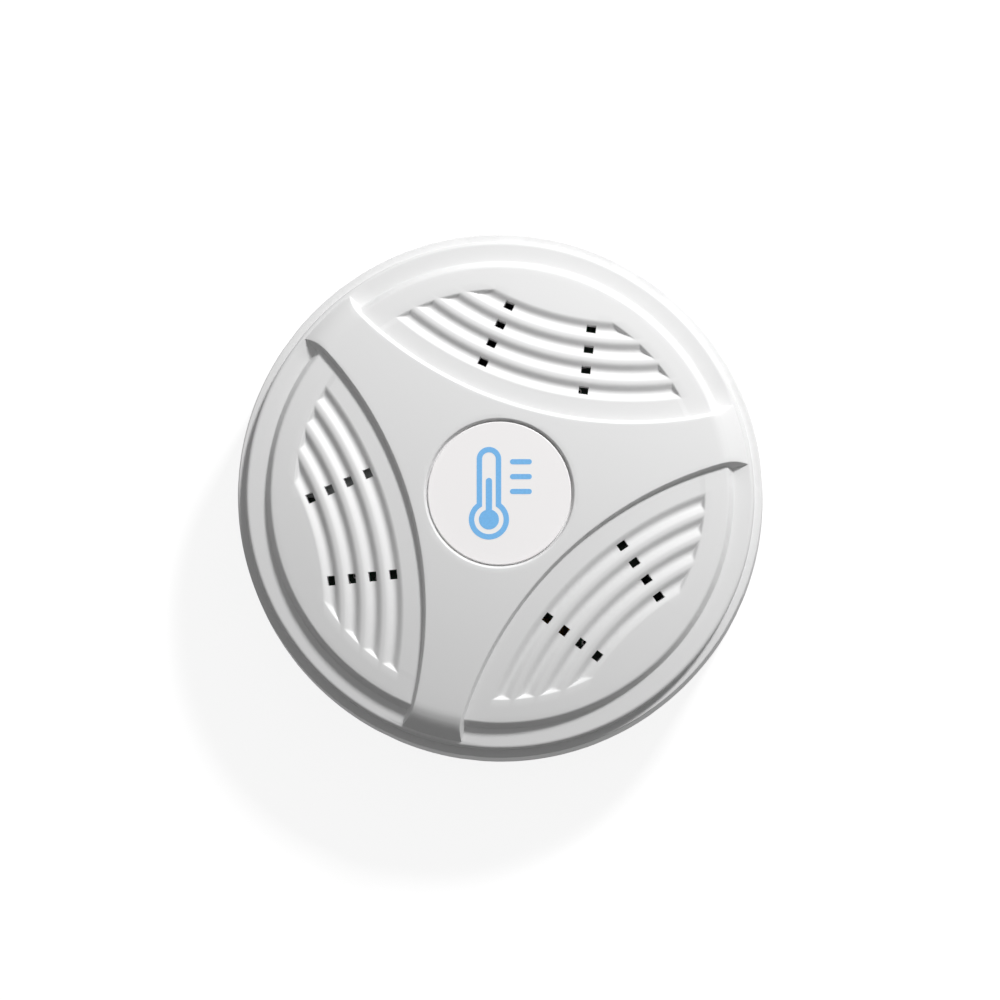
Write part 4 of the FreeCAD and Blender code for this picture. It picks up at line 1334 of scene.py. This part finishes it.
def package(spot, foot, size, turn, leads):
    """A moulded chip with leads along its sides, given as number on a side, pitch and the sides' turns."""
    bm = bmesh.new()
    lay_block(bm, spot, foot + 0.05, (size[0], size[1], size[2] - 0.05), turn, 0.07, 0)
    count, pitch, sides = leads
    for side in sides:
        for place in range(count):
            across = (place - (count - 1) / 2) * pitch
            lead = Vector(spot) + swung((size[0] / 2 - 0.16, across), turn + side)
            lay_block(bm, lead, foot, (0.4, pitch * 0.45, 0.24), turn + side, 0.0, 1)
    return bm


class SENSOR_OT_chips(bpy.types.Operator):
    """Builds the chip packages, the crystal, the radio's shield and the aerial"""

    bl_idname = "sensor.chips"
    bl_label = "Chips"

    def execute(self, context):
        # Black moulding compound with silica filler
        epoxy = moulding("mould_compound", "#151617", "#1D1E20", 0.55, 0.08, 0.006)
        pit = moulding("dimple_compound", "#2B2C2E", "#333436", 0.35, 0.2, 0.002)
        leads = tin("tinned_leads")
        top = BOARD_TOP
        bm = package(CHIP_AT, top, (6.0, 6.0, 0.9), 45.0, (8, 0.6, (0, 90, 180, 270)))
        add_dimple(bm, Vector(CHIP_AT) + ring_spot(3.2, 90), 0.28, top + 0.9, 2)
        finishes = [epoxy, leads, pit]
        make_piece(bm, "microcontroller_package", "base", finishes, ["microcontroller"])
        bm = package((-18.0, 4.5), top, (5.0, 5.0, 0.9), 0.0, (6, 0.6, (0, 90, 180, 270)))
        make_piece(bm, "radio_chip_package", "base", [epoxy, leads], ["radio_chip"])
        bm = package(SENSOR_AT, top, (3.0, 3.0, 1.1), SENSOR_TURN, (3, 0.95, (0, 180)))
        # The sensor's port is a near black disc of painted shade inside a rim
        lay_disc(bm, SENSOR_AT, 0.62, top + 1.108, 3, 32)
        lay_ring(bm, SENSOR_AT, 0.62, 0.8, top + 1.112, 2, 32)
        finishes = [epoxy, leads, pit, hole_shade()]
        name = "temperature_sensor"
        make_piece(bm, name + "_package", "base", finishes, [name])

        # Tin plated steel sheet, drawn
        sheet = metal("tin_plated_sheet", "#B4B6B6", "#CBCDCD", 0.26, 0.42, (1, 9, 1), 0.5)
        rounded_node("radio_shield", "radio_shield_can", "base", sheet, 0.12)
        rounded_node("antenna_strip", "antenna_strip_pressing", "base", sheet, 0.05)
        # Stainless lid, seam welded
        lid = metal("stainless_lid", "#BFC0BF", "#D8D9D8", 0.18, 0.3, (6, 1, 1), 0.4)
        rounded_node("crystal", "crystal_can", "base", lid, 0.1)
        return {"FINISHED"}


# The small parts

def end_capped(bm, place, height, cap, metal_high):
    """A chip part with a plated cap on each end and solder up to its pads."""
    x, y, turn = place
    lay_block(bm, (x, y), BOARD_TOP + 0.05, (1.56, 0.76, height - 0.07), turn, 0.05, 0)
    for side in (-1, 1):
        spot = Vector((x, y)) + ring_spot(side * (0.8 - cap / 2), turn)
        lay_block(bm, spot, BOARD_TOP + 0.03, (cap, 0.8, height - 0.03), turn, 0.06, 1)
        spot = Vector((x, y)) + ring_spot(side * 0.9, turn)
        lay_block(bm, spot, BOARD_TOP, (0.5, 0.72, metal_high), turn, 0.12, 1)


class SENSOR_OT_small_parts(bpy.types.Operator):
    """Builds the capacitors, resistors, choke, storage capacitor and status light"""

    bl_idname = "sensor.small_parts"
    bl_label = "Small Parts"

    def execute(self, context):
        solder = tin("solder")
        bm = bmesh.new()
        for place in CHIP_PARTS["capacitors"]:
            end_capped(bm, place, CHIP_HEIGHTS["capacitors"], 0.35, 0.35)
        tan = ceramic("barium_titanate", "#9C7A58", "#AC8A66")
        make_piece(bm, "capacitors_ceramic", "base", [tan, solder], ["capacitors"])

        bm = bmesh.new()
        for place in CHIP_PARTS["resistors"]:
            end_capped(bm, place, CHIP_HEIGHTS["resistors"], 0.28, 0.25)
            lay_block(bm, place[:2], BOARD_TOP + 0.38, (0.98, 0.7, 0.07), place[2], 0.03, 2)
        white = ceramic("alumina", "#DADAD4", "#E8E8E3")
        # Black glass over the resistive film
        glaze = moulding("glaze", "#101113", "#17181A", 0.25, 0.3, 0.002)
        make_piece(bm, "resistors_ceramic", "base", [white, solder, glaze], ["resistors"])

        # A wound choke in a ferrite shell, its winding seen in the round gap between shell and core
        bm = node_copy("choke")
        round_edges(bm, 0.08)
        lay_ring(bm, CHOKE_AT, 0.95, 1.25, BOARD_TOP + 1.508, 1, 48)
        ferrite = ceramic("ferrite", "#37383A", "#434446", 0.1)
        # Enamelled copper wire, 0.1 mm
        wire = metal("enamelled_copper", "#7C3F1F", "#A5592E", 0.25, 0.4, (1, 1, 1), 0.1)
        make_piece(bm, "choke_shell", "base", [ferrite, wire], ["choke"])

        bm = bmesh.new()
        x, y = STORE_AT
        lay_block(bm, STORE_AT, BOARD_TOP + 0.1, (3.4, 2.8, 1.8), 0, 0.12, 0)
        lay_block(bm, (x + 1.15, y), BOARD_TOP + 1.88, (0.5, 2.5, 0.03), 0, 0.0, 1)
        for side in (-1, 1):
            lay_block(bm, (x + side * 1.68, y), BOARD_TOP, (0.14, 1.9, 0.9), 0, 0.03, 2)
            lay_block(bm, (x + side * 1.3, y), BOARD_TOP, (0.8, 1.9, 0.12), 0, 0.03, 2)
        # Moulded tantalum capacitor: ochre resin with the printed bar of its positive end
        resin = moulding("ochre_resin", "#C58A1E", "#D39A2C", 0.45, 0.2, 0.004)
        bar = moulding("bar_ink", "#5A2F12", "#6A3A18", 0.5, 0.2, 0.001)
        finishes = [resin, bar, solder]
        make_piece(bm, "bulk_capacitor_case", "base", finishes, ["bulk_capacitor"])

        bm = bmesh.new()
        x, y = LIGHT_AT
        lay_block(bm, LIGHT_AT, BOARD_TOP + 0.02, (1.9, 1.2, 0.3), 0, 0.03, 0)
        lay_block(bm, LIGHT_AT, BOARD_TOP + 0.3, (1.2, 1.1, 0.5), 0, 0.14, 1)
        for side in (-1, 1):
            lay_block(bm, (x + side * 0.85, y), BOARD_TOP, (0.3, 1.25, 0.34), 0, 0.04, 2)
        white = moulding("white_laminate", "#E4E4DE", "#EFEFEA", 0.5, 0.2, 0.003)
        finishes = [white, clear_resin(), solder]
        make_piece(bm, "status_led_lamp", "base", finishes, ["status_led"])
        return {"FINISHED"}


# The pairing switch

class SENSOR_OT_pairing_switch(bpy.types.Operator):
    """Builds the pairing switch with its frame and plunger"""

    bl_idname = "sensor.pairing_switch"
    bl_label = "Pairing Switch"

    def execute(self, context):
        # Heat proof nylon, black
        nylon = moulding("heat_proof_nylon", "#191A1B", "#212223", 0.45, 0.12, 0.004)
        bm = node_copy("switch_body")
        round_edges(bm, 0.08)
        for side in (-1, 1):
            for place in (-1, 1):
                spot = (SWITCH_AT[0] + side * 3.15, SWITCH_AT[1] + place * 2.0)
                lay_block(bm, spot, BOARD_TOP + 0.02, (0.9, 0.7, 0.16), 0, 0.04, 1)
        finishes = [nylon, tin("tinned_legs")]
        make_piece(bm, "switch_housing", "base", finishes, ["switch_body"])
        # Stainless steel sheet
        sheet = metal("stainless_sheet", "#B7B8B8", "#D0D1D1", 0.22, 0.36, (1, 10, 1), 0.4)
        rounded_node("switch_frame", "switch_frame_sheet", "base", sheet, 0.05)
        # Acetal, off white and slightly waxy
        acetal = moulding("acetal", "#C9C8C2", "#D3D2CC", 0.35, 0.4, 0.003)
        name = "switch_plunger_button"
        rounded_node("switch_plunger", name, "plunger", acetal, 0.14, 3)
        return {"FINISHED"}


# The stage

class SensorStageSettings(bpy.types.PropertyGroup):
    """Light and camera of the studio."""

    key_strength: FloatProperty(
        name="Key light",
        description="Power of the key light",
        default=9.3,
        unit="POWER",
    )
    key_turn: FloatProperty(
        name="Key direction",
        description="Direction of the key light round the sensor",
        subtype="ANGLE",
        default=math.radians(60.0),
    )
    key_rise: FloatProperty(
        name="Key height",
        description="Angle of the key light above the floor",
        subtype="ANGLE",
        default=math.radians(37.0),
    )
    fill: FloatProperty(
        name="Fill",
        description="Strength of the soft light all round",
        default=0.17,
    )
    distance: FloatProperty(
        name="Camera distance",
        description="From the seam of the case",
        default=3.0,
        unit="LENGTH",
    )


def seen_directly(tree):
    """1 where the camera, a reflection or a refraction looks straight at the surface, else 0."""
    path = add_node(tree, "ShaderNodeLightPath").outputs
    seen = path["Is Camera Ray"]
    for ray in ("Is Glossy Ray", "Is Transmission Ray"):
        seen = combine(tree, "MAXIMUM", seen, path[ray])
    return seen


def light_world(fill):
    """An even pale world that shows as white."""
    world = bpy.data.worlds.new("studio")
    world.use_nodes = True
    tree = world.node_tree
    tree.nodes.clear()
    # The fill comes mostly from above and from behind the sensor's top
    toward = add_node(
        tree,
        "ShaderNodeVectorMath",
        {"operation": "DOT_PRODUCT"},
        {0: add_node(tree, "ShaderNodeTexCoord").outputs["Generated"], 1: (0.1, 0.85, 0.5)},
    )
    inputs = {"Value": toward.outputs["Value"], "From Min": -0.7}
    inputs.update({"To Min": 0.25 * fill, "To Max": 2.1 * fill})
    uneven = add_node(tree, "ShaderNodeMapRange", None, inputs).outputs["Result"]
    shares = {0: seen_directly(tree)}
    for number, strength in ((1, uneven), (2, 1.0)):
        inputs = {"Color": linear("#FFFFFF"), "Strength": strength}
        shares[number] = add_node(tree, "ShaderNodeBackground", None, inputs).outputs[0]
    mixed = add_node(tree, "ShaderNodeMixShader", None, shares)
    add_node(tree, "ShaderNodeOutputWorld", None, {"Surface": mixed.outputs[0]})
    bpy.context.scene.world = world


def lay_floor():
    """A wide pale board under the sensor, that shows as nearly white and keeps a faint shadow."""
    bm = bmesh.new()
    bmesh.ops.create_grid(bm, x_segments=1, y_segments=1, size=1.5)
    mesh = bpy.data.meshes.new("floor")
    bm.to_mesh(mesh)
    bm.free()
    floor = bpy.data.objects.new("floor", mesh)
    # Just clear of the case's flat underside
    floor.location.z = -0.1 * MM
    bpy.context.scene.collection.objects.link(floor)
    material, tree, shader, place = start_material("white_card", Roughness=0.9)
    shader.inputs["Base Color"].default_value = linear("#7C7C7C")
    shader.inputs["Emission Color"].default_value = linear("#FFFFFF")
    # It doesn't glow under the case, where no light comes
    reach = add_node(tree, "ShaderNodeVectorMath", {"operation": "LENGTH"}, {0: place}).outputs["Value"]
    share = combine(tree, "MULTIPLY", combine(tree, "GREATER_THAN", reach, 29.0 * MM), 0.87)
    glow = combine(tree, "MULTIPLY", seen_directly(tree), share)
    tree.links.new(glow, shader.inputs["Emission Strength"])
    mesh.materials.append(material)
    floor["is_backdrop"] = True


def add_lamp(name, strength, size, turn, rise, distance):
    """A square soft lamp that looks at the sensor from a direction."""
    data = bpy.data.lights.new(name, "AREA")
    data.energy = strength
    data.size = size
    lamp = bpy.data.objects.new(name, data)
    away = Vector((math.cos(rise) * math.cos(turn), math.cos(rise) * math.sin(turn), math.sin(rise)))
    lamp.location = away * distance
    lamp.rotation_euler = away.to_track_quat("Z", "Y").to_euler()
    bpy.context.scene.collection.objects.link(lamp)


def place_camera(distance):
    """A long lens above the front, tipped as in the reference view."""
    # The outer circle is 60 mm across and 522.9 of 1000 picture points
    width = 60.0 * 1000 / 522.9
    point = width / 1000 * MM
    target = Vector((-1.16 * point, 0.69 * point, COVER_LOW.z * MM))
    tip = math.radians(3.5)
    lean = math.radians(0.8)
    away = Vector((math.sin(lean), -math.sin(tip), math.cos(tip))).normalized()
    data = bpy.data.cameras.new("camera")
    data.sensor_width = 36.0
    data.lens = 36.0 * distance / (width * MM)
    data.clip_start = 0.01
    camera = bpy.data.objects.new("camera", data)
    camera.location = target + away * distance
    right = Vector((0, 1, 0)).cross(away).normalized()
    camera.rotation_euler = Matrix((right, away.cross(right), away)).transposed().to_euler()
    bpy.context.scene.collection.objects.link(camera)
    bpy.context.scene.camera = camera


class SENSOR_OT_stage(bpy.types.Operator):
    """Sets up the camera, the floor, the lamps and the white surroundings"""

    bl_idname = "sensor.stage"
    bl_label = "Stage"

    def execute(self, context):
        settings = context.scene.sensor_stage
        context.scene.view_settings.view_transform = "Standard"
        place_camera(settings.distance)
        lay_floor()
        light_world(settings.fill)
        add_lamp("key", settings.key_strength, 0.14, settings.key_turn, settings.key_rise, 0.9)
        return {"FINISHED"}


class SENSOR_PT_panel(bpy.types.Panel):
    """Lists the steps that build the sensor"""

    bl_label = "Temperature Sensor"
    bl_idname = "SENSOR_PT_panel"
    bl_space_type = "VIEW_3D"
    bl_region_type = "UI"
    bl_category = "Sensor"

    def draw(self, context):
        column = self.layout.column(align=True)
        for step in STEPS:
            column.operator(step.bl_idname)
        for name in ("groove_depth", "colour"):
            self.layout.prop(context.scene.sensor_cover, name)


STEPS = (
    SENSOR_OT_stage,
    SENSOR_OT_front_cover,
    SENSOR_OT_centre_label,
    SENSOR_OT_rear_base,
    SENSOR_OT_circuit_board,
    SENSOR_OT_board_screws,
    SENSOR_OT_coin_cell,
    SENSOR_OT_chips,
    SENSOR_OT_small_parts,
    SENSOR_OT_pairing_switch,
)
SETTINGS = {
    "sensor_stage": SensorStageSettings,
    "sensor_cover": SensorCoverSettings,
    "sensor_label": SensorLabelSettings,
    "sensor_inside": SensorInsideSettings,
}
CLASSES = (*SETTINGS.values(), *STEPS, SENSOR_PT_panel)


def register():
    for kind in CLASSES:
        bpy.utils.register_class(kind)
    for name, kind in SETTINGS.items():
        setattr(bpy.types.Scene, name, PointerProperty(type=kind))


def unregister():
    for name in SETTINGS:
        delattr(bpy.types.Scene, name)
    for kind in reversed(CLASSES):
        bpy.utils.unregister_class(kind)


def main():
    register()
    bpy.ops.sensor.stage()
    bpy.ops.sensor.front_cover()
    bpy.ops.sensor.centre_label()
    bpy.ops.sensor.rear_base()
    bpy.ops.sensor.circuit_board()
    bpy.ops.sensor.board_screws()
    bpy.ops.sensor.coin_cell()
    bpy.ops.sensor.chips()
    bpy.ops.sensor.small_parts()
    bpy.ops.sensor.pairing_switch()
    boxes = {"cad": CAD_BOX, "visual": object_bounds()}
    boxes = {name: [list(corner) for corner in box] for name, box in boxes.items()}


if __name__ == "__main__":
    main()
